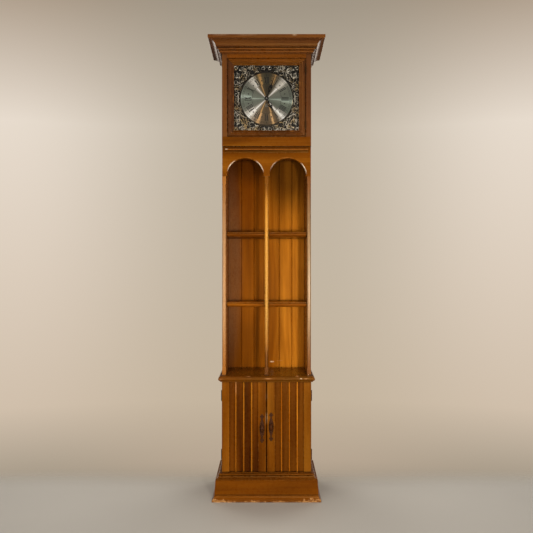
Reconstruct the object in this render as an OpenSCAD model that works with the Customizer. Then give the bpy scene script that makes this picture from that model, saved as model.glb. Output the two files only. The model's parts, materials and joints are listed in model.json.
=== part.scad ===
// Grandfather clock with an open bookshelf trunk, a two-door cabinet and a spring-wound dial movement.
// The origin is at the middle of the footprint, on the floor. The front faces -Y.

/* [Overall] */
// Width of the case, side to side
case_w = 373; // [364:1:384]
// Depth of the trunk, front of the posts to the back
trunk_depth = 235; // [225:1:250]
// How far the hood stands ahead of the trunk
hood_proud = 9.5; // [6:0.5:12]
// How far the base and waist stand ahead of the trunk
base_proud = 22; // [21:0.5:26]
// Thickness of the side boards
side_t = 16; // [14:0.5:18]

/* [Levels] */
// Top of the plinth boards
plinth_top = 88; // [84:1:92]
// Top of the cabinet floor
floor_top = 112; // [110:1:116]
// Underside of the waist board
waist_z = 490.6; // [486:0.2:496]
// Underside of the lower shelf
shelf_lower_z = 800.5; // [780:0.5:820]
// Underside of the upper shelf
shelf_upper_z = 1098; // [1080:0.5:1120]
// Bottom of the arched spandrel
spandrel_z = 1350; // [1340:1:1360]
// Bottom of the hood
hood_z = 1475; // [1470:1:1480]
// Bottom of the cornice
cornice_z = 1860; // [1858:1:1864]
// Height of the dial's centre
dial_z = 1679; // [1677:0.5:1681]

/* [Boards] */
// Thickness of the waist board
waist_t = 24; // [22:0.5:26]
// Thickness of the shelves
shelf_t = 18; // [16:0.5:20]
// Thickness of the back panel
back_t = 10; // [8:0.5:12]
// Thickness of the face frames and posts
frame_t = 19; // [17:0.5:20]
// Depth of the V grooves in the back panel
groove_depth = 3; // [1:0.5:4]
// Distance between the V grooves
groove_pitch = 57; // [50:0.5:60]

/* [Arches] */
// Radius of each arch
arch_r = 77; // [74:0.5:77.5]
// Width of the centre post
centre_post_w = 15; // [12:0.5:18]
// Width of the spandrel's centre foot
arch_foot_w = 25; // [24:0.5:28]

/* [Cabinet doors] */
// Thickness of a door
door_t = 20; // [18:0.5:21]
// Gap between the doors
door_gap = 4; // [3:0.5:6]
// Width of a door's outer stile
outer_stile = 31; // [28:1:34]
// Width of a door's inner stile
inner_stile = 33; // [30:1:36]
// Width of a rib
rib_w = 6; // [5:0.5:7]
// Distance between ribs
rib_pitch = 33; // [31:0.5:34]

/* [Dial] */
// Width of the glazed opening
sight_w = 273; // [270:1:275]
// Width of the moulded frame around it
door_frame_w = 28; // [27:0.5:28.5]
// Width of the square dial plate
dial_plate_w = 280; // [278:1:284]
// Radius of the round dial
dial_r = 111; // [105:0.5:114]
// Length of the minute hand
minute_len = 104; // [95:1:108]
// Length of the hour hand
hour_len = 62; // [55:1:68]
// Minute hand's angle, clockwise from twelve
minute_angle = 20; // [0:1:359]
// Hour hand's angle, clockwise from twelve
hour_angle = 151; // [0:1:359]

/* [Movement] */
// Distance from the dial centre down to the winding arbor
winding_drop = 29; // [28:0.5:30]
// Distance between the motion work's two axes
motion_centres = 18; // [17:0.5:19]
// Module of the going train's small wheels
train_module = 0.5; // [0.48:0.01:0.52]

/* [Hidden] */

$fn = 64;
tiny = 0.01;
far = 1000;
left = -1;
right = 1;

cornice_reach = 55.5;
cornice_h = 65;
clock_depth = cornice_reach + hood_proud + trunk_depth;
y_back = clock_depth / 2;
y_trunk = y_back - trunk_depth;
y_hood = y_trunk - hood_proud;
y_base = y_trunk - base_proud;
y_behind_posts = y_trunk + frame_t;
y_hood_inside = y_hood + frame_t;
y_panel = y_back - back_t;
half_w = case_w / 2;
inside = half_w - side_t;
waist_top = waist_z + waist_t;
hood_top_z = cornice_z + 40;
hood_floor_t = 15;
hood_floor_z = hood_z - 10 - hood_floor_t;
top_board_t = 12;

wood = [0.55, 0.30, 0.08];
wood_dark = [0.40, 0.20, 0.06];
brass = [0.75, 0.60, 0.30];
steel = [0.60, 0.60, 0.62];
iron = [0.14, 0.11, 0.09];

// Points along an arc, from angle a0 to a1
function arc(centre, r, a0, a1, steps = 8) =
  [for (i = [0 : steps]) let (a = a0 + (a1 - a0) * i / steps) centre + r * [cos(a), sin(a)]];

// ---- Moulding runs: a profile of [distance out, height] carried round a box ----

module run_front(profile, front, reach, inset = 0) {
  intersection() {
    translate([-far / 2, 0, 0])
      rotate([90, 0, 90])
      linear_extrude(far) polygon([for (p = profile) [front - p[0], p[1]]]);
    linear_extrude(2 * far) polygon([
      [-half_w - reach, front - reach], [half_w + reach, front - reach],
      [half_w - inset, front + inset], [-half_w + inset, front + inset]]);
  }
}

module run_side(side, profile, front, reach, inset = 0) {
  mirror([side == left ? 1 : 0, 0, 0])
    intersection() {
      translate([half_w, y_back, 0])
        rotate([90, 0, 0])
        linear_extrude(y_back - front + reach) polygon(profile);
      linear_extrude(2 * far) polygon([
        [half_w + reach, front - reach], [half_w + reach, y_back],
        [half_w - inset, y_back], [half_w - inset, front + inset]]);
    }
}

// A box given by its low and high corners
module span(low, high) {
  translate(low) cube(high - low);
}

// ---- Base ----

plinth_inset = 10;
plinth_reach = 38.9;
flare_reach = 29.5;
flare_top = 26;
flare_foot = 8;
flare_run = plinth_reach - flare_reach;
flare_rise = flare_top - flare_foot;
flare_r = (flare_run * flare_run + flare_rise * flare_rise) / (2 * flare_run);
plinth_profile = concat(
  [[-plinth_inset, 0], [plinth_reach, 0], [plinth_reach, flare_foot]],
  arc([flare_reach + flare_r, flare_top], flare_r, 180 + asin(flare_rise / flare_r), 180, 8),
  [[flare_reach - 1, flare_top + 1], [25, plinth_top], [-plinth_inset, plinth_top]]);

module plinth_front() {
  color(wood) run_front(plinth_profile, y_base, plinth_reach, plinth_inset);
}

module plinth_side(side) {
  color(wood) run_side(side, plinth_profile, y_base, plinth_reach, plinth_inset);
}

base_reach = 23.5;
base_profile = concat(
  [[0, plinth_top], [base_reach, plinth_top], [base_reach, plinth_top + 4.5]],
  arc([21, plinth_top + 12.5], 8, 270, 180),
  arc([7.5, plinth_top + 17.5], 5, -90, 90),
  [[0, plinth_top + 22.5]]);

module base_moulding_front() {
  color(wood) run_front(base_profile, y_base, base_reach);
}

module base_moulding_side(side) {
  color(wood) run_side(side, base_profile, y_base, base_reach);
}

module cabinet_floor() {
  color(wood) span([-half_w, y_base, plinth_top], [half_w, y_back, floor_top]);
}

// ---- Cabinet and waist ----

module cabinet_side(side) {
  color(wood)
    mirror([side == left ? 1 : 0, 0, 0])
    span([inside, y_trunk, floor_top], [half_w, y_back, waist_z]);
}

waist_reach = 14.5;
waist_nose_z = waist_z + 12;
waist_profile = concat(
  [[-side_t, waist_z], [6.5, waist_z]],
  arc([6.5, waist_nose_z], 8, -90, 0, 5),
  arc([2.5, waist_nose_z], 12, 0, 90, 7),
  [[-side_t, waist_top]]);

module waist_board() {
  color(wood)
    difference() {
      union() {
        span([-half_w + side_t, y_base + side_t, waist_z], [half_w - side_t, y_back, waist_top]);
        run_front(waist_profile, y_base, waist_reach, side_t);
        run_side(left, waist_profile, y_base, waist_reach, side_t);
        run_side(right, waist_profile, y_base, waist_reach, side_t);
      }
      span([-inside, y_panel, waist_z - 1], [inside, y_back + 1, waist_top + 1]);
    }
}

door_z = floor_top + 2;
door_h = waist_z - 1.6 - door_z;
door_w = half_w - door_gap / 2;
door_seat = 0.3;
door_recess = 4.5;
slat_dip = 1.5;
y_door = y_trunk - door_t;
recess_w = door_w - outer_stile - inner_stile;
rib_x = door_gap / 2 + inner_stile + recess_w / 2;
slat_edges = [
  door_gap / 2 + inner_stile, rib_x - rib_pitch, rib_x, rib_x + rib_pitch, half_w - outer_stile];

// Dished face of one slat, as points from its inner to its outer edge
function slat(x0, x1, steps = 6) =
  [for (i = [0 : steps]) let (t = i / steps)
    [x0 + (x1 - x0) * t, y_door + door_recess + slat_dip * 4 * t * (1 - t)]];

door_profile = concat(
  [[door_gap / 2, y_trunk - door_seat], [door_gap / 2, y_door + 1], [door_gap / 2 + 1, y_door],
    [slat_edges[0] - 1, y_door], [slat_edges[0], y_door + 1]],
  [for (k = [0 : 3]) each slat(slat_edges[k], slat_edges[k + 1])],
  [[slat_edges[4], y_door + 1], [slat_edges[4] + 1, y_door], [half_w - 1.5, y_door],
    [half_w, y_door + 1.5], [half_w, y_trunk - door_seat]]);

module door(side) {
  color(wood_dark)
    mirror([side == left ? 1 : 0, 0, 0])
    translate([0, 0, door_z])
    linear_extrude(door_h) polygon(door_profile);
}

module door_ribs(side) {
  rib_r = rib_w / 2;
  rib_seat = y_door + door_recess;
  color(wood)
    mirror([side == left ? 1 : 0, 0, 0])
    for (k = [-1 : 1])
      translate([rib_x + k * rib_pitch, rib_seat, door_z])
        linear_extrude(door_h)
        polygon(concat([[rib_r, 0]], arc([0, -1], rib_r, 0, -180, 8), [[-rib_r, 0]]));
}

// ---- Pulls: a long leaf-shaped plate with lobed ends and an oval knob ----

pull_x = 19;
pull_half = 59;
pull_t = 2.2;
leaf_half = 42;
leaf_bulge = 10;
leaf_r = (leaf_half * leaf_half + leaf_bulge * leaf_bulge) / (2 * leaf_bulge);

module pull_plate_shape() {
  intersection() {
    translate([leaf_r - leaf_bulge, 0]) circle(leaf_r, $fn = 180);
    translate([leaf_bulge - leaf_r, 0]) circle(leaf_r, $fn = 180);
  }
  square([6, 2 * pull_half - 9], center = true);
  for (end = [-1, 1]) {
    for (lobe = [-1, 0, 1])
      translate([lobe * 4.5, end * (pull_half - 4 - 6 * abs(lobe))]) circle(4, $fn = 24);
  }
}

module pull(side, z) {
  knob_half = 19;
  knob_r = 8.5;
  knob_out = 9.5;
  neck_r = 5;
  neck_len = 6.5;
  tip_r = 1;
  spindle_r = (knob_half * knob_half + knob_r * knob_r) / (2 * knob_r);
  tip_angle = acos((spindle_r - knob_r + tip_r) / spindle_r);
  tip_z = spindle_r * sin(tip_angle);
  rim = arc([knob_r - spindle_r, 0], spindle_r, -tip_angle, tip_angle, 14);
  color(iron)
    translate([side * pull_x, y_door, z]) {
      rotate([90, 0, 0]) linear_extrude(pull_t) pull_plate_shape();
      rotate([90, 0, 0]) cylinder(r = neck_r, h = neck_len, $fn = 32);
      translate([0, -knob_out, 0])
        rotate_extrude($fn = 48) polygon(concat([[0, -tip_z]], rim, [[0, tip_z]]));
    }
}

// ---- Cabinet hinges: pin on the outer corner, one leaf on the case and one on the door ----

hinge_h = 44;
hinge_levels = [182.6, 429];
pin_offset = 2.2;
knuckle_r = 2;
hinge_pin_r = 1;
leaf_t = 1.1;
leaf_root = 0.5;
leaf_len = 12;
running_gap = 0.05;
knuckle_gap = 0.3;

// Middle knuckle and leaf that turn with the door, along -y from the pin
module moving_hinge() {
  third = hinge_h / 3;
  leaf_in = leaf_t - pin_offset;
  difference() {
    union() {
      cylinder(r = knuckle_r, h = third - 2 * knuckle_gap, center = true, $fn = 32);
      span([-pin_offset, -leaf_len, -hinge_h / 2], [leaf_in, -knuckle_r - knuckle_gap, hinge_h / 2]);
      span([-pin_offset, -knuckle_r - 1, knuckle_gap - third / 2],
           [leaf_in, -leaf_root, third / 2 - knuckle_gap]);
    }
    cylinder(r = hinge_pin_r + running_gap, h = hinge_h, center = true, $fn = 32);
  }
}

// Outer knuckles, pin and leaf that stay on the case, along +y from the pin
module fixed_hinge() {
  third = hinge_h / 3;
  leaf_in = leaf_t - pin_offset;
  cylinder(r = hinge_pin_r, h = hinge_h, center = true, $fn = 32);
  span([-pin_offset, knuckle_r + knuckle_gap, -hinge_h / 2], [leaf_in, leaf_len, hinge_h / 2]);
  for (end = [-1, 1]) translate([0, 0, end * third]) {
    cylinder(r = knuckle_r, h = third, center = true, $fn = 32);
    span([-pin_offset, leaf_root, -third / 2], [leaf_in, knuckle_r + 1, third / 2]);
  }
}

module cabinet_hinge_leaves() {
  color(iron)
    for (side = [left, right], z = hinge_levels)
      mirror([side == left ? 1 : 0, 0, 0])
        translate([half_w + pin_offset, y_trunk, z]) fixed_hinge();
}

module door_hinges(side) {
  color(iron)
    mirror([side == left ? 1 : 0, 0, 0])
    for (z = hinge_levels)
      translate([half_w + pin_offset, y_trunk, z]) moving_hinge();
}

module door_catch() {
  catch_w = 44;
  catch_gap = 0.5;
  color(steel)
    span([-catch_w / 2, y_trunk + catch_gap, waist_z - 10], [catch_w / 2, y_trunk + 22, waist_z]);
}

// ---- Trunk ----

cover_t = 6;
cover_lap = side_t - 6;
y_cover = y_back - 2;
cover_z = hood_z - 10;
cover_screw_r = 1.5;
cover_screw_len = 20;
cover_screw_x = inside + cover_lap / 2;

// Draws its children at each screw of the rear cover, with +z pointing out of the back
module at_cover_screws() {
  for (side = [left, right], z = [cover_z + 20, (cover_z + hood_top_z) / 2, hood_top_z - 20])
    translate([side * cover_screw_x, y_cover, z]) rotate([-90, 0, 0]) children();
}

module cover_screw_holes() {
  at_cover_screws() translate([0, 0, -cover_screw_len]) cylinder(r = cover_screw_r, h = far, $fn = 24);
}

module trunk_side(side) {
  color(wood_dark)
    difference() {
      mirror([side == left ? 1 : 0, 0, 0])
        difference() {
          union() {
            span([inside, y_behind_posts, waist_top], [half_w, y_back, hood_z]);
            span([inside, y_hood_inside, hood_z], [half_w, y_back, hood_top_z]);
          }
          span(
            [inside - 1, y_cover - cover_t, cover_z],
            [inside + cover_lap, y_back + 1, hood_top_z + 1]);
        }
      cover_screw_holes();
    }
}

back_outline = concat(
  [[-inside, y_back], [-inside, y_panel]],
  [for (k = [-2 : 2]) each [
    [k * groove_pitch - groove_depth, y_panel],
    [k * groove_pitch, y_panel + groove_depth],
    [k * groove_pitch + groove_depth, y_panel]]],
  [[inside, y_panel], [inside, y_back]]);

module back_panel() {
  color(wood)
    translate([0, 0, floor_top])
    linear_extrude(hood_floor_z + hood_floor_t - floor_top) polygon(back_outline);
}

shelf_nose_r = 6.5;
shelf_profile = concat(
  [[y_panel, 0], [y_panel, shelf_t], [y_behind_posts + 4, shelf_t], [y_behind_posts + 4, shelf_t - 3.5]],
  arc([y_behind_posts + shelf_nose_r, 8], shelf_nose_r, 90, 270, 10),
  [[y_behind_posts + shelf_nose_r + 1, 0]]);

module shelf(z) {
  color(wood)
    translate([-inside, 0, z])
    rotate([90, 0, 90])
    linear_extrude(2 * inside) polygon(shelf_profile);
}

chamfer = 4;
chamfer_stop = 32;

// A corner cut along z, stopped short of both ends
module stopped_chamfer(x, z0, z1) {
  translate([x, y_trunk, z0 + chamfer_stop])
    rotate([0, 0, 45])
    translate([-chamfer / sqrt(2), -chamfer / sqrt(2), 0])
    cube([chamfer * sqrt(2), chamfer * sqrt(2), z1 - z0 - 2 * chamfer_stop]);
}

module side_post(side) {
  color(wood)
    mirror([side == left ? 1 : 0, 0, 0])
    difference() {
      span([inside, y_trunk, waist_top], [half_w, y_behind_posts, spandrel_z]);
      stopped_chamfer(inside, waist_top, spandrel_z);
      stopped_chamfer(half_w, waist_top, spandrel_z);
    }
}

module centre_post() {
  foot_h = 9;
  half = centre_post_w / 2;
  color(wood)
    difference() {
      union() {
        span([-half, y_trunk, waist_top], [half, y_behind_posts, spandrel_z]);
        span([-half - 1.5, y_trunk - 1.5, waist_top], [half + 1.5, y_behind_posts, waist_top + foot_h]);
      }
      stopped_chamfer(-half, waist_top, spandrel_z);
      stopped_chamfer(half, waist_top, spandrel_z);
    }
}

arch_x = arch_foot_w / 2 + arch_r;
nub_r = 3.2;
arch_bevel = 3;

module spandrel_outline() {
  difference() {
    translate([-half_w, spandrel_z]) square([case_w, hood_z - spandrel_z]);
    for (side = [left, right]) translate([side * arch_x, spandrel_z - 1]) circle(arch_r, $fn = 96);
  }
  for (side = [left, right], edge = [left, right])
    translate([side * arch_x + edge * arch_r, spandrel_z + nub_r]) circle(nub_r, $fn = 24);
}

module arch_spandrel() {
  color(wood)
    difference() {
      translate([0, y_behind_posts, 0]) rotate([90, 0, 0]) linear_extrude(frame_t) spandrel_outline();
      for (side = [left, right])
        translate([side * arch_x, y_trunk + arch_bevel, spandrel_z - 1])
          rotate([90, 0, 0])
          cylinder(r1 = arch_r, r2 = arch_r + arch_bevel + 1, h = arch_bevel + 1, $fn = 96);
      span([-far / 2, y_trunk - 5, spandrel_z - 10], [far / 2, y_back, spandrel_z]);
    }
}

neck_half = 175;
neck_z = hood_z - 27;
neck_profile = concat(
  [[0, neck_z], [1.5, neck_z], [1.5, neck_z + 2]],
  arc([9, neck_z + 2], 7.5, 180, 118, 5),
  arc([5.5, neck_z + 14], 3, -90, 90, 8),
  [[0, neck_z + 17]]);

module neck_bead() {
  color(wood)
    translate([-neck_half, 0, 0])
    rotate([90, 0, 90])
    linear_extrude(2 * neck_half) polygon([for (p = neck_profile) [y_trunk - p[0], p[1]]]);
}

// ---- Hood ----

module hood_floor() {
  color(wood_dark)
    span([-inside, y_behind_posts, hood_floor_z], [inside, y_panel, hood_floor_z + hood_floor_t]);
}

door_half = sight_w / 2 + door_frame_w;
frame_opening = door_half + 1;

module hood_face_frame() {
  color(wood)
    difference() {
      span([-half_w, y_hood, hood_z], [half_w, y_hood_inside, hood_top_z]);
      span(
        [-frame_opening, y_hood - 1, dial_z - frame_opening],
        [frame_opening, y_hood_inside + 1, dial_z + frame_opening]);
    }
}

module hood_top() {
  color(wood_dark)
    span([-half_w, y_hood, hood_top_z], [half_w, y_back, hood_top_z + top_board_t]);
}

cornice_profile = concat(
  [[0, cornice_z], [2, cornice_z], [2, cornice_z + 4]],
  arc([6.5, cornice_z + 9], 5, -90, 90, 8),
  arc([13.5, cornice_z + 19.5], 4.5, -90, 90, 8),
  [[21.5, cornice_z + 24], [21.5, cornice_z + 25.5], [25, cornice_z + 25.5]],
  arc([47, cornice_z + 26], 22, 180, 90, 9),
  [[52.5, cornice_z + 48], [52.5, cornice_z + 50]],
  arc([52.5, cornice_z + 53], 3, -60, 0, 3),
  [[cornice_reach, cornice_z + cornice_h - 1], [cornice_reach - 1, cornice_z + cornice_h]],
  [[0, cornice_z + cornice_h]]);

module cornice_front() {
  color(wood_dark) run_front(cornice_profile, y_hood, cornice_reach);
}

module cornice_side(side) {
  color(wood_dark) run_side(side, cornice_profile, y_hood, cornice_reach);
}

module rear_cover() {
  slot_w = 120;
  slot_h = 8;
  slot_pitch = 24;
  cover_half = inside + cover_lap;
  color(wood_dark)
    difference() {
      span([-cover_half, y_cover - cover_t, cover_z], [cover_half, y_cover, hood_top_z]);
      for (k = [0 : 4])
        translate([-slot_w / 2, y_back - far / 2, cover_z + 90 + k * slot_pitch])
          cube([slot_w, far, slot_h]);
      cover_screw_holes();
    }
}

module rear_cover_screws() {
  head_r = 4;
  head_h = 1.6;
  color(steel)
    at_cover_screws() {
      cylinder(r = head_r, h = head_h, $fn = 32);
      translate([0, 0, -cover_screw_len]) cylinder(r = cover_screw_r, h = cover_screw_len + 1, $fn = 24);
    }
}

// ---- Dial door: a mitred square frame, glazed from behind ----

door_frame_t = 15;
y_dial_door = y_hood + 1 + door_frame_t;
glass_t = 2.5;
rabbet_w = 6;
rabbet_h = 6.5;
door_member = concat(
  [[rabbet_w, 0], [rabbet_w, rabbet_h], [0, rabbet_h]],
  arc([2.5, rabbet_h + 1.5], 2.5, 180, 0, 6),
  [[6.5, rabbet_h + 1.5]],
  arc([6.5, rabbet_h + 6.5], 5, -90, -20, 5),
  [[13, rabbet_h + 5.5]],
  arc([20.5, door_frame_t - 3.5], 3.5, 180, 0, 8),
  [[door_frame_w - 1, door_frame_t - 3.5], [door_frame_w, door_frame_t - 4.5], [door_frame_w, 0]]);

module dial_door_frame() {
  half = sight_w / 2;
  color(wood)
    translate([0, y_dial_door, dial_z])
    rotate([90, 0, 0])
    difference() {
      for (turn = [0 : 3])
        rotate(90 * turn)
          intersection() {
            rotate([90, 0, 0])
              linear_extrude(2 * door_half, center = true)
              polygon([for (p = door_member) [half + p[0], p[1]]]);
            linear_extrude(door_frame_t + 1)
              polygon([[half, -half], [door_half, -door_half], [door_half, door_half], [half, half]]);
          }
      translate([door_half - dial_leaf_t, -far / 2, -1]) cube([far, far, far]);
    }
}

module dial_glass() {
  glass_half = sight_w / 2 + rabbet_w - 0.5;
  color([0.8, 0.9, 0.9, 0.3])
    span(
      [-glass_half, y_dial_door - rabbet_h, dial_z - glass_half],
      [glass_half, y_dial_door - rabbet_h + glass_t, dial_z + glass_half]);
}

dial_hinge_h = 30;
dial_knuckle_r = 1.9;
dial_pin_r = 0.8;
dial_leaf_t = 0.9;
dial_leaf_len = 12;
dial_hinge_levels = [dial_z - 115, dial_z + 115];
dial_hinge_x = door_half;
dial_hinge_y = y_hood - 2.1;

module dial_door_knuckles() {
  third = dial_hinge_h / 3;
  color(brass)
    for (z = dial_hinge_levels) translate([dial_hinge_x, dial_hinge_y, z])
      difference() {
        union() {
          cylinder(r = dial_knuckle_r, h = third - 2 * knuckle_gap, center = true, $fn = 32);
          span(
            [-dial_leaf_t, dial_knuckle_r + knuckle_gap, -dial_hinge_h / 2],
            [-tiny, dial_knuckle_r + dial_leaf_len, dial_hinge_h / 2]);
          span(
            [-dial_leaf_t, 0, knuckle_gap - third / 2],
            [-tiny, dial_knuckle_r + 1, third / 2 - knuckle_gap]);
        }
        cylinder(r = dial_pin_r + running_gap, h = dial_hinge_h, center = true, $fn = 32);
      }
}

module dial_hinge_leaves() {
  third = dial_hinge_h / 3;
  leaf_x = frame_opening - door_half - 0.8;
  color(brass)
    for (z = dial_hinge_levels) translate([dial_hinge_x, dial_hinge_y, z]) {
      cylinder(r = dial_pin_r, h = dial_hinge_h, center = true, $fn = 32);
      span(
        [leaf_x, dial_knuckle_r + knuckle_gap, -dial_hinge_h / 2],
        [frame_opening - door_half, dial_knuckle_r + dial_leaf_len, dial_hinge_h / 2]);
      for (end = [-1, 1]) translate([0, 0, end * third]) {
        cylinder(r = dial_knuckle_r, h = third, center = true, $fn = 32);
        span([leaf_x, 0, -third / 2], [frame_opening - door_half, dial_knuckle_r + 1, third / 2]);
      }
    }
}

// ---- Dial. Everything below is drawn facing +z with +y up, then stood up in the hood ----

// Places a shape drawn in the dial plane; depth is measured back from the round dial's face
module on_dial(depth) {
  translate([0, y_dial_face + depth, dial_z]) rotate([90, 0, 0]) children();
}

dial_plate_t = 2;
dial_disc_t = 1.2;
dial_board_t = 8;
y_dial_face = y_trunk + 15.8;
board_depth = dial_disc_t + dial_plate_t;
centre_hole_r = 5.5;
winding_hole_r = 4.5;
board_hole_r = 52;

module dial_holes() {
  circle(centre_hole_r, $fn = 32);
  translate([0, -winding_drop]) circle(winding_hole_r, $fn = 32);
}

module dial_disc() {
  color(steel) on_dial(dial_disc_t)
    linear_extrude(dial_disc_t) difference() {
      circle(dial_r, $fn = 128);
      dial_holes();
    }
}

module dial_plate() {
  color(brass) on_dial(board_depth)
    linear_extrude(dial_plate_t) difference() {
      square(dial_plate_w, center = true);
      dial_holes();
    }
}

module dial_board() {
  board_low = hood_z + 12;
  board_high = hood_top_z - 12;
  y_board = y_dial_face + board_depth;
  color(wood_dark)
    difference() {
      span([-inside, y_board, board_low], [inside, y_board + dial_board_t, board_high]);
      on_dial(far / 2) cylinder(r = board_hole_r, h = far, $fn = 64);
    }
}

// ---- Wheels: involute teeth, 25 degree pressure angle ----

pressure = 25;
addendum = 0.85;
dedendum = 1.15;
backlash = 0.12;

function involute(a) = tan(a) * 180 / PI - a;

// Half the tooth's angle at radius r, for a wheel of n teeth
function half_tooth(n, r, base_r) =
  90 / n * (1 - backlash) + involute(pressure) - involute(acos(min(1, base_r / r)));

function tooth_points(n, m, turn) =
  let (pitch_r = n * m / 2, base_r = pitch_r * cos(pressure), root_r = pitch_r - dedendum * m,
    tip_r = pitch_r + addendum * m, low_r = max(base_r, root_r),
    radii = [root_r, low_r, (low_r + tip_r) / 2, tip_r],
    half = [for (r = radii) half_tooth(n, max(r, low_r), base_r)])
  concat(
    [for (i = [0 : 3]) radii[i] * [cos(turn - half[i]), sin(turn - half[i])]],
    [for (i = [3 : -1 : 0]) radii[i] * [cos(turn + half[i]), sin(turn + half[i])]]);

module toothed_disc(n, m, phase) {
  polygon([for (k = [0 : n - 1]) each tooth_points(n, m, phase + 360 * k / n)]);
}

// Phase that puts a wheel of n2 teeth in mesh with one of n1 teeth and phase p1, lying in direction bearing
function mesh_phase(n1, p1, n2, bearing) = bearing + 180 - (0.5 - (bearing - p1) * n1 / 360) * 360 / n2;

pinion_teeth = 12;
great_teeth = 84;
centre_teeth = 72;
third_teeth = 72;
cannon_teeth = 12;
minute_wheel_teeth = 36;
minute_pinion_teeth = 10;
hour_wheel_teeth = 40;

great_module = 2 * winding_drop / (great_teeth + pinion_teeth);
cannon_module = 2 * motion_centres / (cannon_teeth + minute_wheel_teeth);
hour_module = 2 * motion_centres / (minute_pinion_teeth + hour_wheel_teeth);
third_bearing = 30;
fourth_bearing = 120;
train_centres = train_module * (centre_teeth + pinion_teeth) / 2;
third_at = train_centres * [cos(third_bearing), sin(third_bearing)];
fourth_at = third_at + train_centres * [cos(fourth_bearing), sin(fourth_bearing)];
winding_at = [0, -winding_drop];
motion_at = [-motion_centres, 0];

great_phase = mesh_phase(pinion_teeth, 0, great_teeth, -90);
third_pinion_phase = mesh_phase(centre_teeth, 0, pinion_teeth, third_bearing);
fourth_pinion_phase = mesh_phase(third_teeth, 0, pinion_teeth, fourth_bearing);
minute_wheel_phase = mesh_phase(cannon_teeth, 0, minute_wheel_teeth, 180);
hour_wheel_phase = mesh_phase(minute_pinion_teeth, 0, hour_wheel_teeth, 0);

// Depths behind the dial face
plate_t = 2;
front_plate_depth = 20;
plate_gap = 26;
back_plate_depth = front_plate_depth + plate_t + plate_gap;
inside_depth = front_plate_depth + plate_t;
pivot_r = 1;
arbor_r = 1.5;

plate_low = [-50, -68];
plate_high = [50, 52];
pillar_at = [[-42, -60], [42, -60], [-42, 44], [42, 44]];

module movement_plate(depth, holes) {
  color(brass) on_dial(depth + plate_t)
    linear_extrude(plate_t) difference() {
      translate(plate_low) square(plate_high - plate_low);
      for (h = holes) translate(h[0]) circle(h[1] + running_gap, $fn = 32);
    }
}

module movement_front_plate() {
  movement_plate(front_plate_depth, [
    [[0, 0], arbor_r], [winding_at, winding_r],
    [third_at, pivot_r], [fourth_at, pivot_r], [motion_at, pivot_r]]);
}

module movement_back_plate() {
  movement_plate(back_plate_depth, [
    [[0, 0], pivot_r], [winding_at, pivot_r], [third_at, pivot_r]]);
}

module movement_pillars() {
  color(brass) for (p = pillar_at) {
    on_dial(back_plate_depth) translate(p) cylinder(r = 4, h = plate_gap, $fn = 24);
    on_dial(front_plate_depth) translate(p)
      cylinder(r = 3.5, h = front_plate_depth - board_depth - dial_board_t, $fn = 24);
  }
}

module wheel(n, m, t, phase, bore_r, spokes = 5) {
  rim_r = n * m / 2 - 3 * m - 1.5;
  hub_r = bore_r + 2.5;
  hole_r = min((rim_r - hub_r) / 2, (rim_r + hub_r) / 2 * sin(180 / spokes) - 0.8);
  linear_extrude(t) difference() {
    toothed_disc(n, m, phase);
    circle(bore_r, $fn = 32);
    for (k = [0 : spokes - 1])
      rotate(360 * k / spokes + 15) translate([(rim_r + hub_r) / 2, 0]) circle(hole_r, $fn = 32);
  }
}

module pinion(n, m, t, phase, bore_r = 0) {
  linear_extrude(t) difference() {
    toothed_disc(n, m, phase);
    if (bore_r > 0) circle(bore_r, $fn = 32);
  }
}

// A shaft between two depths, drawn at a point of the dial plane
module arbor(at, r, depth_near, depth_far) {
  on_dial(depth_far) translate(at) cylinder(r = r, h = depth_far - depth_near, $fn = 32);
}

cannon_pipe_r = 3;
hour_pipe_r = 4.2;
nut_depth = -12.4;
minute_hand_depth = -9;
hour_hand_depth = -5.5;
hand_t = 0.9;

module centre_arbor() {
  color(steel) {
    arbor([0, 0], arbor_r, nut_depth + 0.4, back_plate_depth - 0.5);
    arbor([0, 0], pivot_r, back_plate_depth - 0.5, back_plate_depth + plate_t);
    on_dial(inside_depth + 5) pinion(pinion_teeth, great_module, 3.5, 0);
  }
  color(brass) on_dial(inside_depth + 21) wheel(centre_teeth, train_module, 2, 0, arbor_r - tiny);
}

module cannon_pinion() {
  color(steel) {
    on_dial(front_plate_depth - 2.5) pinion(cannon_teeth, cannon_module, 3.5, 0, arbor_r);
    on_dial(front_plate_depth - 6) difference() {
      cylinder(r = cannon_pipe_r, h = front_plate_depth - 6 - minute_hand_depth, $fn = 32);
      translate([0, 0, -1]) cylinder(r = arbor_r, h = far, $fn = 32);
    }
  }
}

module minute_wheel() {
  color(brass) {
    on_dial(front_plate_depth - 3.2) translate(motion_at)
      wheel(minute_wheel_teeth, cannon_module, 2, minute_wheel_phase, 1.3);
    arbor(motion_at, 1.31, front_plate_depth - 11.5, front_plate_depth - 0.3);
    arbor(motion_at, pivot_r, front_plate_depth - 0.4, inside_depth);
  }
  color(steel)
    on_dial(front_plate_depth - 6.5) translate(motion_at) pinion(minute_pinion_teeth, hour_module, 4, 0);
}

module hour_wheel() {
  color(brass) {
    on_dial(front_plate_depth - 7.5)
      wheel(hour_wheel_teeth, hour_module, 2.2, hour_wheel_phase, cannon_pipe_r + running_gap);
    on_dial(front_plate_depth - 7.5) difference() {
      cylinder(r = hour_pipe_r, h = front_plate_depth - 7.5 - hour_hand_depth, $fn = 32);
      translate([0, 0, -1]) cylinder(r = cannon_pipe_r + running_gap, h = far, $fn = 32);
    }
  }
}

winding_r = 2.5;
square_w = 3.2;

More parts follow.
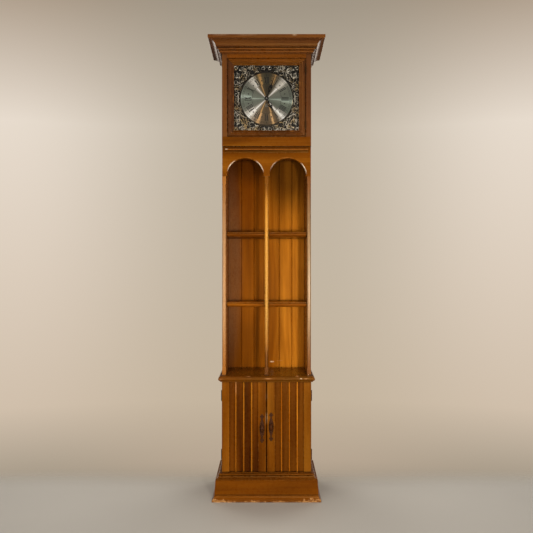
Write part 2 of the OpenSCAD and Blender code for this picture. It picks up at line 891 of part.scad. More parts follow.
module mainspring_barrel() {
  drum_r = 21.5;
  bore_r = winding_r + running_gap;
  color(brass) {
    on_dial(inside_depth + 4.5) translate(winding_at) linear_extrude(2.5) difference() {
      toothed_disc(great_teeth, great_module, great_phase);
      circle(bore_r, $fn = 32);
    }
    on_dial(inside_depth + 17) translate(winding_at) difference() {
      cylinder(r = drum_r, h = 12.5);
      translate([0, 0, -1]) cylinder(r = bore_r, h = far, $fn = 32);
    }
  }
}

module winding_arbor() {
  color(steel) {
    arbor(winding_at, winding_r, front_plate_depth - 3, inside_depth + 19);
    arbor(winding_at, pivot_r, inside_depth + 19, back_plate_depth + plate_t);
    on_dial(front_plate_depth - 3) translate(winding_at) translate([-square_w / 2, -square_w / 2, 0])
      cube([square_w, square_w, front_plate_depth - 3 - 1.5]);
  }
}

module third_wheel() {
  color(steel) {
    arbor(third_at, pivot_r, front_plate_depth, back_plate_depth + plate_t);
    on_dial(inside_depth + 21.5) translate(third_at)
      pinion(pinion_teeth, train_module, 3, third_pinion_phase);
  }
  color(brass) on_dial(inside_depth + 10) translate(third_at)
    wheel(third_teeth, train_module, 2, 0, pivot_r - tiny);
}

housing_depth = inside_depth + 12;

module escapement_pinion() {
  color(steel) {
    arbor(fourth_at, pivot_r, front_plate_depth, housing_depth + 6);
    on_dial(inside_depth + 10.5) translate(fourth_at)
      pinion(pinion_teeth, train_module, 3, fourth_pinion_phase);
  }
}

// Sealed unit that holds the fast wheels, the lever and the balance
module escapement_housing() {
  housing_t = back_plate_depth - housing_depth;
  color(steel) on_dial(back_plate_depth) difference() {
    translate(fourth_at + [-22, -7]) cube([36, 20, housing_t]);
    translate(fourth_at) translate([0, 0, housing_t - 6.5])
      cylinder(r = pivot_r + running_gap, h = far, $fn = 32);
  }
}

// ---- Hands ----

// Pierced hand pointing along +y: a boss, a neck, an oval ring, scroll beads and a tapered blade
module hand_shape(length, boss_r, bore_r, ring_at, ring_r) {
  blade_from = ring_at + ring_r - 1;
  difference() {
    union() {
      circle(boss_r, $fn = 32);
      polygon([[-2.2, 0], [2.2, 0], [1.2, ring_at - ring_r + 1], [-1.2, ring_at - ring_r + 1]]);
      translate([0, ring_at]) circle(ring_r, $fn = 32);
      for (side = [left, right], k = [0 : 1])
        translate([side * (ring_r * 0.62 - k * 1.6), blade_from + 1 + k * 5]) circle(3 - k * 0.8, $fn = 24);
      for (side = [left, right])
        translate([side * 3, ring_at - ring_r - 3]) circle(2.6, $fn = 24);
      polygon([[-2, blade_from], [2, blade_from], [2.4, blade_from + 12], [0.3, length], [-0.3, length],
        [-2.4, blade_from + 12]]);
    }
    circle(bore_r, $fn = 32);
    translate([0, ring_at]) circle(ring_r - 2.6, $fn = 32);
  }
  translate([0, ring_at]) circle(1.8, $fn = 24);
  translate([-0.5, ring_at - ring_r + 1]) square([1, 2 * ring_r - 2]);
}

module minute_hand() {
  color(iron) on_dial(minute_hand_depth)
    rotate(-minute_angle) linear_extrude(hand_t) hand_shape(minute_len, 6.5, arbor_r, 42, 8);
}

module hour_hand() {
  color(iron) on_dial(hour_hand_depth)
    rotate(-hour_angle) linear_extrude(hand_t)
    hand_shape(hour_len, 8, cannon_pipe_r + running_gap, 28, 8.5);
}

module hand_nut() {
  color(brass) on_dial(minute_hand_depth - hand_t)
    difference() {
      union() {
        cylinder(r = 4, h = 1.4, $fn = 32);
        cylinder(r = 2.8, h = minute_hand_depth - hand_t - nut_depth, $fn = 32);
      }
      translate([0, 0, -1]) cylinder(r = arbor_r, h = far, $fn = 32);
    }
}

plinth_front();
plinth_side(left);  // plinth_left
plinth_side(right);  // plinth_right
base_moulding_front();
base_moulding_side(left);  // base_moulding_left
base_moulding_side(right);  // base_moulding_right
cabinet_floor();
cabinet_side(left);  // cabinet_side_left
cabinet_side(right);  // cabinet_side_right
waist_board();
trunk_side(left);  // trunk_side_left
trunk_side(right);  // trunk_side_right
back_panel();
shelf(shelf_lower_z);  // shelf_lower
shelf(shelf_upper_z);  // shelf_upper
side_post(left);  // post_left
side_post(right);  // post_right
centre_post();
arch_spandrel();
neck_bead();
hood_floor();
hood_face_frame();
hood_top();
cornice_front();
cornice_side(left);  // cornice_left
cornice_side(right);  // cornice_right
rear_cover();
rear_cover_screws();
dial_board();
dial_plate();
dial_disc();
movement_front_plate();
movement_back_plate();
movement_pillars();
escapement_housing();
cabinet_hinge_leaves();
dial_hinge_leaves();
door_catch();
dial_door_frame();
dial_glass();
dial_door_knuckles();
minute_hand();
hand_nut();
centre_arbor();
cannon_pinion();
hour_hand();
hour_wheel();
minute_wheel();
mainspring_barrel();
winding_arbor();
third_wheel();
escapement_pinion();
door(left);  // door_left
door(right);  // door_right
door_ribs(left);  // door_ribs_left
door_ribs(right);  // door_ribs_right
pull(left, 295);  // pull_left
pull(right, 302);  // pull_right
door_hinges(left);  // door_hinges_left
door_hinges(right);  // door_hinges_right
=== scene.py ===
"""Looks of a grandfather clock with a bookshelf trunk: worn satin fruitwood, cast plate, spun dial, iron pulls."""

import json
import math
import random

import bmesh
import bpy
import numpy as np
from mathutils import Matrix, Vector

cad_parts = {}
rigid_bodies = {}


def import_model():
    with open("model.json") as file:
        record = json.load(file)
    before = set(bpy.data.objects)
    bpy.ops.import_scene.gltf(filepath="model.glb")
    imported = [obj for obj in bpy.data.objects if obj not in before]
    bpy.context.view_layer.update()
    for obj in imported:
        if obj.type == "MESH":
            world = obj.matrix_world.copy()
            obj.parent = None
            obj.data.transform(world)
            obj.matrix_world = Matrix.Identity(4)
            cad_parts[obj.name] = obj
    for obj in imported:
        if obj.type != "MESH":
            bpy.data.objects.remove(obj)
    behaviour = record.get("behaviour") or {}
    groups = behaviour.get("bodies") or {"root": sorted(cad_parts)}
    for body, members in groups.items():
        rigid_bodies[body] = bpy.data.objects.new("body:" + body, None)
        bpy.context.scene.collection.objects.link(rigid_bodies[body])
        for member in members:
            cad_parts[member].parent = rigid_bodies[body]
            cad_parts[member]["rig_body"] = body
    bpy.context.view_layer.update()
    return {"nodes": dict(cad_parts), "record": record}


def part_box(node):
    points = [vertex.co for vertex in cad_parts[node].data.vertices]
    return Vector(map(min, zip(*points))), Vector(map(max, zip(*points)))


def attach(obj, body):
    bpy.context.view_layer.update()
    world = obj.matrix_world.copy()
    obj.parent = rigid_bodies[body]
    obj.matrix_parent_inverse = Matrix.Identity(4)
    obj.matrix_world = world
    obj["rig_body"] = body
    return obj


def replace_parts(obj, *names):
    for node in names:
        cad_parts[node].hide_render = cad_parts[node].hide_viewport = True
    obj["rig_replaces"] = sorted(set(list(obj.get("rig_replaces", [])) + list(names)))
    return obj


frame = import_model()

NODES = frame["nodes"]
SLOTS = {part["node"]: part["material_slot"] for part in frame["record"]["subparts"]}
MM = 0.001


def srgb(r, g, b):
    """An 8-bit display colour as linear red, green and blue."""
    return tuple((c / 255 / 12.92) if c <= 10 else ((c / 255 + 0.055) / 1.055) ** 2.4 for c in (r, g, b))


def shaded(colour, amount):
    return tuple(c * amount for c in colour)


def body_of(node):
    return NODES[node]["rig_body"]


def centre(node):
    low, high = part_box(node)
    return (low + high) / 2


# ---------------------------------------------------------------- node trees


class Nodes:
    """A node tree built from short calls."""

    def __init__(self, tree, coordinates):
        self.tree = tree
        self.tree.nodes.clear()
        self.where = self.add("ShaderNodeTexCoord").outputs[coordinates]

    def add(self, kind, **props):
        node = self.tree.nodes.new(kind)
        for key, value in props.items():
            setattr(node, key, value)
        return node

    def put(self, socket, value):
        if isinstance(value, bpy.types.NodeSocket):
            self.tree.links.new(value, socket)
        elif hasattr(value, "__len__") and len(value) == 3 and socket.type == "RGBA":
            socket.default_value = (*value, 1)
        else:
            socket.default_value = value

    def math(self, operation, a, b=0.0, clamp=False):
        node = self.add("ShaderNodeMath", operation=operation, use_clamp=clamp)
        self.put(node.inputs[0], a)
        self.put(node.inputs[1], b)
        return node.outputs[0]

    def plus(self, a, b, clamp=False):
        return self.math("ADD", a, b, clamp)

    def minus(self, a, b):
        return self.math("SUBTRACT", a, b)

    def times(self, a, b):
        return self.math("MULTIPLY", a, b)

    def mapped(self, scale, offset=(0, 0, 0)):
        node = self.add("ShaderNodeMapping")
        self.put(node.inputs["Vector"], self.where)
        node.inputs["Scale"].default_value = scale
        node.inputs["Location"].default_value = offset
        return node.outputs[0]

    def noise(self, vector, scale, detail=2.0, roughness=0.5, distortion=0.0):
        node = self.add("ShaderNodeTexNoise")
        self.put(node.inputs["Vector"], vector)
        node.inputs["Scale"].default_value = scale
        node.inputs["Detail"].default_value = detail
        node.inputs["Roughness"].default_value = roughness
        node.inputs["Distortion"].default_value = distortion
        return node.outputs[0]

    def span(self, value, low, high, to_low=0.0, to_high=1.0, smooth=True):
        """A value's place between low and high, carried over to another span."""
        node = self.add("ShaderNodeMapRange", interpolation_type="SMOOTHSTEP" if smooth else "LINEAR")
        self.put(node.inputs[0], value)
        for i, limit in enumerate((low, high, to_low, to_high)):
            node.inputs[i + 1].default_value = limit
        return node.outputs[0]

    def ramp(self, value, stops, interpolation="LINEAR"):
        node = self.add("ShaderNodeValToRGB")
        ramp = node.color_ramp
        ramp.interpolation = interpolation
        while len(ramp.elements) < len(stops):
            ramp.elements.new(0.5)
        for element, (position, colour) in zip(ramp.elements, stops):
            element.position = position
            element.color = (*colour, 1)
        self.put(node.inputs[0], value)
        return node.outputs[0]

    def mix(self, factor, a, b, blend="MIX"):
        node = self.add("ShaderNodeMix", data_type="RGBA", blend_type=blend)
        for socket, value in ((0, factor), (6, a), (7, b)):
            self.put(node.inputs[socket], value)
        return node.outputs[2]

    def xyz(self):
        node = self.add("ShaderNodeSeparateXYZ")
        self.put(node.inputs[0], self.where)
        return node.outputs

    def attribute(self, name):
        return self.add("ShaderNodeAttribute", attribute_name=name).outputs["Fac"]

    def crevice(self, reach):
        """1 in the open, falling to 0 where other surfaces are closer than reach."""
        node = self.add("ShaderNodeAmbientOcclusion", samples=6)
        node.inputs["Distance"].default_value = reach
        return node.outputs["AO"]

    def near(self, place, radii):
        """1 at a place, falling to 0 at an ellipsoid's surface."""
        shift = self.add("ShaderNodeVectorMath", operation="SUBTRACT")
        self.put(shift.inputs[0], self.where)
        shift.inputs[1].default_value = place
        size = self.add("ShaderNodeVectorMath", operation="DIVIDE")
        self.put(size.inputs[0], shift.outputs[0])
        size.inputs[1].default_value = radii
        length = self.add("ShaderNodeVectorMath", operation="LENGTH")
        self.put(length.inputs[0], size.outputs[0])
        return self.span(length.outputs["Value"], 0.35, 1.0, 1.0, 0.0)


class Surface(Nodes):
    """A Principled material on object coordinates, which are metres in the CAD frame."""

    def __init__(self, name):
        self.material = bpy.data.materials.new(name)
        self.material.use_nodes = True
        super().__init__(self.material.node_tree, "Object")
        self.bsdf = self.add("ShaderNodeBsdfPrincipled")
        out = self.add("ShaderNodeOutputMaterial")
        self.tree.links.new(self.bsdf.outputs[0], out.inputs[0])

    def set(self, **values):
        for key, value in values.items():
            self.put(self.bsdf.inputs[key.replace("_", " ")], value)

    def bump(self, height, strength, distance):
        node = self.add("ShaderNodeBump")
        node.inputs["Strength"].default_value = strength
        node.inputs["Distance"].default_value = distance
        self.put(node.inputs["Height"], height)
        self.put(self.bsdf.inputs["Normal"], node.outputs[0])


# ---------------------------------------------------------------- wood

GRAIN = {"X": (0.06, 1, 1), "Y": (1, 0.06, 1), "Z": (1, 1, 0.06)}
FIBRE = {"X": (0.012, 1, 1), "Y": (1, 0.012, 1), "Z": (1, 1, 0.012)}
# Noise scales per metre, across the grain.
FIGURE_SCALE, RING_SCALE, HAZE_SCALE, FIBRE_SCALE, PORE_SCALE = 11, 5.5, 7, 430, 1500
RING_PHASE = 95
DARK, MID, LIGHT = (0.090, 0.019, 0.0006), (0.225, 0.062, 0.0018), (0.43, 0.150, 0.010)
STAIN = (0.26, 0.066, 0.002)
# the dark in the wood's hollows: dirt, and painted shade in grooves, corners and under overhangs
GRIME_AND_SHADE = (0.014, 0.0045, 0.0015)
SHADOW = (0.020, 0.006, 0.001)
DUST_AND_SHEEN = (0.25, 0.16, 0.12)
LACQUER_TINT = (1.0, 0.54, 0.12)
BARE, BARE_DARK = srgb(212, 160, 100), srgb(120, 68, 26)
WORN = srgb(186, 118, 52)
WORN_SPOT = srgb(196, 140, 92)
PALE_SPOT = srgb(226, 200, 164)
GLINT = srgb(250, 238, 216)


def wood(name, grain, seed, tone=1.0, figure=1.0, strips=None, spots=(), chips=0.0, edge_wear=0.35, gloss=0.02,
         recess=None, drift=None, shine=0.15, grime=0.85, veil=0.0):
    """Stained fruitwood under satin lacquer.

    strips is (pitch, phase, amount): the tones of boards side by side along x.
    drift is (start, rate): a slow change of tone along x; on the door panels and the back panel it is painted light
    and shade.
    recess is (start, end, shade): faces between two depths y get painted shade.
    veil is how far dust and a painted sheen make the wood paler and greyer.
    A spot is (centre, radii, paint, amount) in metres, and a fifth value keeps it to rounded edges. Spots carry wear,
    and also painted shade, light and highlights.
    """
    draw = random.Random(seed)
    offset = tuple(draw.uniform(-5, 5) for _ in range(3))
    t = Surface(name)
    x, y, _ = t.xyz()
    along = t.mapped(GRAIN[grain], offset)
    fibre = t.mapped(FIBRE[grain], offset)
    broad = t.noise(along, FIGURE_SCALE, 3, 0.5, 0.3)
    rings = t.math("SINE", t.times(t.noise(along, RING_SCALE, 2, 0.45, 0.15), RING_PHASE))
    fine = t.noise(fibre, FIBRE_SCALE, 3, 0.6)
    pores = t.span(t.noise(fibre, PORE_SCALE, 1, 0.5), 0.60, 0.72)
    haze = t.noise(t.mapped((1, 1, 1), offset), HAZE_SCALE, 2)

    half = 0.24 / figure
    level = t.plus(t.span(broad, 0.5 - half, 0.5 + half), t.times(rings, 0.12 * figure))
    level = t.plus(level, t.times(t.minus(fine, 0.5), 0.55))
    if strips:
        pitch, phase, amount = strips
        board = t.math("FLOOR", t.math("DIVIDE", t.minus(x, phase), pitch))
        white = t.add("ShaderNodeTexWhiteNoise", noise_dimensions="1D")
        t.put(white.inputs["W"], t.plus(board, offset[0]))
        level = t.plus(level, t.times(t.minus(white.outputs["Value"], 0.5), amount))
    if drift:
        start, rate = drift
        level = t.plus(level, t.times(t.minus(x, start), rate))

    dark, mid, light = (shaded(colour, tone) for colour in (DARK, MID, LIGHT))
    colour = t.ramp(level, [(0.0, dark), (0.5, mid), (1.0, light)])
    colour = t.mix(t.times(pores, 0.35), colour, shaded(dark, 0.5))
    colour = t.mix(t.span(haze, 0.35, 0.75, 0.0, 0.22), colour, STAIN)
    # a pale grey veil: dust, and a painted sheen of reflected light
    if veil:
        colour = t.mix(veil, colour, DUST_AND_SHEEN)
    # painted shade over the faces inside a recess
    if recess:
        start, end, shade = recess
        deep = t.times(t.span(y, start, start + 1.5 * MM), t.span(y, end, end + 1 * MM, 1.0, 0.0))
        colour = t.mix(deep, colour, shade, "MULTIPLY")
    # darker where other surfaces are near: partly dirt, partly painted shade
    colour = t.mix(t.span(t.crevice(10 * MM), 0.30, 0.97, grime, 0.0), colour, GRIME_AND_SHADE)

    rubbed = t.times(t.attribute("edge"), t.span(t.noise(t.where, 38, 3, 0.6), 0.50, 0.68))
    colour = t.mix(t.times(rubbed, edge_wear), colour, WORN)
    patchy = t.span(t.noise(t.where, 260, 3, 0.6), 0.34, 0.56, 0.35, 1.0)
    for place, radii, paint, amount, *edge_only in spots:
        worn = t.near(place, radii)
        if paint != SHADOW:
            worn = t.times(worn, patchy)
        if edge_only:
            worn = t.times(worn, t.attribute("edge"))
        colour = t.mix(t.times(worn, amount), colour, paint)

    rough = t.span(t.noise(t.where, 60, 3, 0.6), 0.3, 0.7, 0.24, 0.34)
    if chips:
        bare = t.attribute("chip")
        speck = t.span(t.noise(t.mapped((0.3, 1, 1)), 300, 3, 0.6), 0.40, 0.60, 0.1, 1.0)
        colour = t.mix(t.times(bare, chips), colour, t.mix(speck, BARE_DARK, BARE))
        rough = t.plus(rough, t.times(bare, 0.4), clamp=True)
    t.set(Base_Color=colour, Roughness=rough, Specular_IOR_Level=shine, Specular_Tint=LACQUER_TINT,
          Coat_Weight=gloss, Coat_Roughness=0.22, Coat_IOR=1.5)
    height = t.plus(t.times(fine, 0.5), t.times(rings, 0.12 * figure))
    t.bump(t.minus(height, t.times(pores, 0.5)), 0.30, 0.25 * MM)
    return t.material


# ---------------------------------------------------------------- metals, glass, ink, floor


def metal(name, dark, light, rough, metallic=1.0, scale=180.0, grime=0.5, bump=0.2, stretch=(1, 1, 1), shine=0.5):
    """Metal with uneven tarnish, dirt in its corners and a slightly rough skin."""
    t = Surface(name)
    tarnish = t.noise(t.where, scale, 4, 0.6, 0.4)
    skin = t.noise(t.mapped(stretch), scale * 6, 2)
    colour = t.ramp(t.span(tarnish, 0.3, 0.7), [(0.0, dark), (1.0, light)])
    colour = t.mix(t.span(t.crevice(6 * MM), 0.3, 1.0, grime, 0.0), colour, shaded(dark, 0.2))
    t.set(Base_Color=colour, Metallic=metallic, Specular_IOR_Level=shine,
          Roughness=t.span(skin, 0.3, 0.7, rough - 0.08, rough + 0.1))
    t.bump(t.plus(skin, tarnish), bump, 0.3 * MM)
    return t.material


def cast_plate():
    """Antique silver and brass: dark in the recesses, rubbed bright on the crests, with painted light over the lower
    half and a painted highlight at the upper right.
    """
    t = Surface("antique_cast_relief")
    middle = centre("dial_plate")
    crest = t.mix(t.span(t.noise(t.where, 26, 2), 0.45, 0.66), srgb(246, 241, 226), srgb(226, 196, 142))
    level = t.plus(t.attribute("relief"), t.times(t.minus(t.noise(t.where, 260, 3), 0.5), 0.5))
    # painted light brightens the lower half, and a painted highlight lies along the upper right
    painted_light_below = t.span(t.xyz()[2], middle.z - 0.10, middle.z + 0.02, 0.12, 0.0)
    painted_highlight_above = t.near((middle.x + 0.068, middle.y, middle.z + 0.117), (0.026, 0.05, 0.009))
    level = t.plus(level, t.plus(painted_light_below, t.times(painted_highlight_above, 0.4)))
    colour = t.mix(t.span(level, 0.12, 0.52), srgb(12, 9, 5), srgb(94, 82, 60))
    colour = t.mix(t.span(level, 0.48, 0.84), colour, crest)
    t.set(Base_Color=colour, Metallic=0.35, Roughness=t.span(level, 0.1, 0.9, 0.5, 0.25))
    t.bump(t.noise(t.where, 1300, 2), 0.35, 0.3 * MM)
    return t.material


# Tones round the spun dial, clockwise from twelve, in degrees: painted reflections and highlights over the silver, on
# the chapter ring, then on the part inside it.
# Each list is drawn by two ramps that meet at HALF_WAY, since one ramp holds at most 32 stops.
CHAPTER = [
    (0, (62, 58, 41)), (10, (72, 66, 46)), (16, (112, 92, 60)), (21, (192, 152, 98)), (25, (104, 88, 62)),
    (32, (112, 106, 92)), (41, (196, 192, 182)), (48, (222, 219, 210)), (54, (140, 138, 126)), (64, (94, 98, 86)),
    (80, (84, 90, 78)), (90, (92, 102, 90)), (97, (150, 166, 154)), (105, (98, 108, 94)), (122, (88, 96, 84)),
    (131, (140, 138, 130)), (139, (248, 249, 246)), (146, (176, 168, 154)), (152, (92, 80, 62)),
    (160, (118, 94, 64)), (164, (236, 192, 134)), (169, (112, 92, 66)), (180, (92, 78, 58)), (194, (108, 90, 66)),
    (201, (232, 186, 128)), (208, (128, 108, 84)), (217, (176, 164, 146)), (226, (250, 250, 246)),
    (235, (206, 202, 192)), (243, (112, 114, 102)), (256, (92, 100, 88)), (268, (108, 118, 106)),
    (276, (166, 182, 172)), (284, (108, 118, 106)), (298, (92, 98, 86)), (310, (124, 124, 114)),
    (319, (206, 203, 194)), (325, (228, 226, 218)), (331, (160, 152, 134)), (336, (104, 90, 62)),
    (343, (196, 152, 92)), (349, (90, 80, 54)), (360, (62, 58, 41)),
]
HEART = [
    (0, (60, 54, 40)), (24, (70, 62, 46)), (34, (104, 98, 84)), (41, (186, 182, 172)), (45.5, (255, 255, 254)),
    (50, (168, 165, 154)), (57, (100, 103, 92)), (86, (90, 96, 85)), (92, (126, 140, 129)), (95, (162, 176, 165)),
    (99, (104, 112, 100)), (122, (88, 95, 83)), (134, (104, 106, 96)), (140, (210, 208, 200)),
    (143, (255, 255, 254)), (147, (150, 142, 126)), (152, (74, 62, 46)), (158, (124, 98, 66)),
    (161.5, (222, 176, 116)), (166, (100, 82, 60)), (180, (86, 73, 55)), (198, (102, 86, 62)),
    (203, (212, 168, 108)), (208, (112, 95, 72)), (221, (150, 145, 133)), (227, (255, 255, 254)),
    (232, (168, 166, 157)), (240, (100, 103, 92)), (256, (92, 99, 88)), (267, (104, 112, 101)),
    (271, (162, 176, 165)), (276, (104, 112, 100)), (306, (98, 100, 90)), (314, (172, 169, 160)),
    (318.5, (252, 253, 250)), (323, (158, 150, 134)), (330, (100, 88, 68)), (336, (118, 96, 64)),
    (339.5, (200, 158, 100)), (344, (80, 70, 51)), (360, (60, 54, 40)),
]
HALF_WAY = 256
TARNISH = (0.02, 0.02, 0.016)
# Radii on the dial and half the widths of its minute marks, in mm.
HEART_EDGE = 62
RIM = 109
NUMERALS_FROM, NUMERALS_TO = 64.5, 93.0
TRACK_FROM, TRACK_TO = 98.4, 102.6
MINUTE_HALF, HOUR_HALF = 0.45, 1.1
PRINTED_LINES = ((61.3, 62.5), (97.5, 98.4), (102.6, 103.5))
HALF_HOUR_DOT = [(-3.0, 79), (0, 75.0), (3.0, 79), (0, 83.0)]


def spun_dial():
    """Spun silver under lacquer, with its reflections painted as fixed bands of tone that turn about the dial's axis,
    as the turning marks do.
    """
    t = Surface("spun_silver_dial")
    middle = centre("dial_disc")
    x, _, z = t.xyz()
    rise = t.minus(z, middle.z)
    radius = t.math("SQRT", t.plus(t.math("POWER", x, 2), t.math("POWER", rise, 2)))
    turn = t.math("FRACT", t.plus(t.math("DIVIDE", t.math("ARCTAN2", x, rise), math.tau), 1.0))

    def around(tones):
        stops = [(angle, (angle / 360, srgb(*tone))) for angle, tone in tones]
        early = t.ramp(turn, [stop for angle, stop in stops if angle <= HALF_WAY], "EASE")
        late = t.ramp(turn, [stop for angle, stop in stops if angle >= HALF_WAY], "EASE")
        return t.mix(t.math("GREATER_THAN", turn, HALF_WAY / 360), early, late)

    tone = t.mix(t.math("LESS_THAN", radius, HEART_EDGE * MM), around(CHAPTER), around(HEART))
    grooves = t.add("ShaderNodeCombineXYZ")
    t.put(grooves.inputs[0], radius)
    marks = t.noise(grooves.outputs[0], 2600, 2, 0.7)
    wide = t.noise(grooves.outputs[0], 210, 2)
    tone = t.mix(t.span(marks, 0.3, 0.7, 0.0, 0.10), tone, TARNISH)
    tone = t.mix(t.span(wide, 0.45, 0.7, 0.0, 0.10), tone, TARNISH)
    # painted shade darkens the rim round the disc
    rim = t.math("GREATER_THAN", radius, RIM * MM)
    tone = t.mix(t.times(rim, 0.88), tone, srgb(34, 26, 18))
    # a painted highlight on the rim at the right
    glint = t.near((middle.x + 0.111, middle.y, middle.z - 0.020), (0.006, 0.05, 0.022))
    tone = t.mix(t.times(glint, rim), tone, srgb(240, 230, 196))
    tangent = t.add("ShaderNodeTangent", direction_type="RADIAL", axis="Y")
    t.set(Base_Color=tone, Metallic=0.12, Roughness=t.span(marks, 0.3, 0.7, 0.33, 0.45), Anisotropic=0.6,
          Tangent=tangent.outputs[0])
    t.bump(marks, 0.12, 0.1 * MM)
    return t.material


def clear_glass():
    t = Surface("old_glass")
    smear = t.noise(t.mapped((1, 1, 0.3)), 18, 3)
    t.set(Base_Color=(0, 0, 0), Roughness=t.span(smear, 0.3, 0.7, 0.02, 0.08), Alpha=0.045, Specular_IOR_Level=0.6)
    t.bump(t.noise(t.where, 5, 1), 0.05, 1 * MM)
    return t.material


def printed_ink():
    t = Surface("dial_ink")
    wear = t.noise(t.where, 700, 3)
    t.set(Base_Color=t.mix(wear, srgb(8, 8, 7), srgb(18, 17, 14)), Roughness=0.6)
    t.bump(wear, 0.1, 0.1 * MM)
    return t.material


FLOOR_DARK, FLOOR_LIGHT, FLOOR_SHADE = (0.53, 0.515, 0.485), (0.60, 0.585, 0.545), (0.20, 0.15, 0.11)


def paper_floor():
    """Pale seamless floor that fades into the world away from the clock, with a little painted shadow beside it."""
    t = Surface("studio_floor")
    x, y, _ = t.xyz()
    grain = t.noise(t.where, 240, 3)
    mottle = t.plus(t.times(grain, 0.3), t.times(t.noise(t.where, 2.2, 2), 0.5))
    tone = t.mix(mottle, FLOOR_DARK, FLOOR_LIGHT)
    # painted shadow on the floor round the clock's foot
    beside = t.near((0, 0.05, 0), (0.50, 0.55, 1))
    tone = t.mix(t.times(beside, 0.26), tone, FLOOR_SHADE)
    t.set(Base_Color=tone, Roughness=0.6, Specular_IOR_Level=0.25)
    far = t.math("SQRT", t.plus(t.math("POWER", x, 2), t.math("POWER", y, 2)))
    t.set(Alpha=t.times(t.span(far, 1.35, 2.3, 1.0, 0.0), t.span(y, 0.02, 0.34, 1.0, 0.0)))
    t.bump(grain, 0.1, 0.4 * MM)
    return t.material


# ---------------------------------------------------------------- meshes


def new_object(name, mesh, materials, body, smooth_angle):
    piece = bpy.data.objects.new(name, mesh)
    bpy.context.scene.collection.objects.link(piece)
    for material in materials:
        piece.data.materials.append(material)
    piece.data.set_sharp_from_angle(angle=math.radians(smooth_angle))
    flat = piece.modifiers.new("flat_faces_stay_flat", "WEIGHTED_NORMAL")
    flat.keep_sharp = True
    flat.weight = 100
    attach(piece, body)
    return piece


def welded(node):
    """A working copy of a CAD node's mesh with its seams welded and flat areas merged."""
    bm = bmesh.new()
    bm.from_mesh(NODES[node].data)
    bmesh.ops.remove_doubles(bm, verts=bm.verts, dist=2e-6)
    bmesh.ops.dissolve_limit(bm, angle_limit=math.radians(0.4), verts=bm.verts, edges=bm.edges)
    return bm


def from_lists(vertices, faces):
    """A working mesh from plain lists, with doubled vertices welded."""
    mesh = bpy.data.meshes.new("lists")
    mesh.from_pydata(vertices, [], faces)
    bm = bmesh.new()
    bm.from_mesh(mesh)
    bpy.data.meshes.remove(mesh)
    bmesh.ops.remove_doubles(bm, verts=bm.verts, dist=1e-7)
    return bm


def soften(bm, width, sharp=28.0, segments=2):
    """Rounds the sharp edges and marks the new faces for wear and for painted glints."""
    edge = bm.faces.layers.float.new("edge")
    sharp_edges = [e for e in bm.edges if len(e.link_faces) == 2 and e.calc_face_angle(0) > math.radians(sharp)]
    made = bmesh.ops.bevel(bm, geom=sharp_edges, offset=width, offset_type="OFFSET", segments=segments,
                           profile=0.5, affect="EDGES", clamp_overlap=False)
    for face in made["faces"]:
        face[edge] = 1.0
    bmesh.ops.remove_doubles(bm, verts=bm.verts, dist=5e-6)


def mark_slants(bm):
    """Marks a board's own bevels, which face forward at a slant, for the same wear and painted glints as its rounded
    edges.
    """
    edge = bm.faces.layers.float["edge"]
    for face in bm.faces:
        if -0.93 < face.normal.y < -0.35:
            face[edge] = 1.0


def finished(bm, name):
    mesh = bpy.data.meshes.new(name)
    bmesh.ops.recalc_face_normals(bm, faces=bm.faces)
    bm.to_mesh(mesh)
    bm.free()
    for polygon in mesh.polygons:
        polygon.use_smooth = True
    return mesh


def cut_every(bm, normal, places):
    for place in places:
        everything = bm.verts[:] + bm.edges[:] + bm.faces[:]
        bmesh.ops.bisect_plane(bm, geom=everything, dist=1e-6, plane_co=place, plane_no=normal)


# ---------------------------------------------------------------- the wooden boards


def board(grain, bevel, tone, **looks):
    """A board's grain direction, the rounding of its edges in mm, its tone and what else wood() takes."""
    return grain, bevel, tone, looks
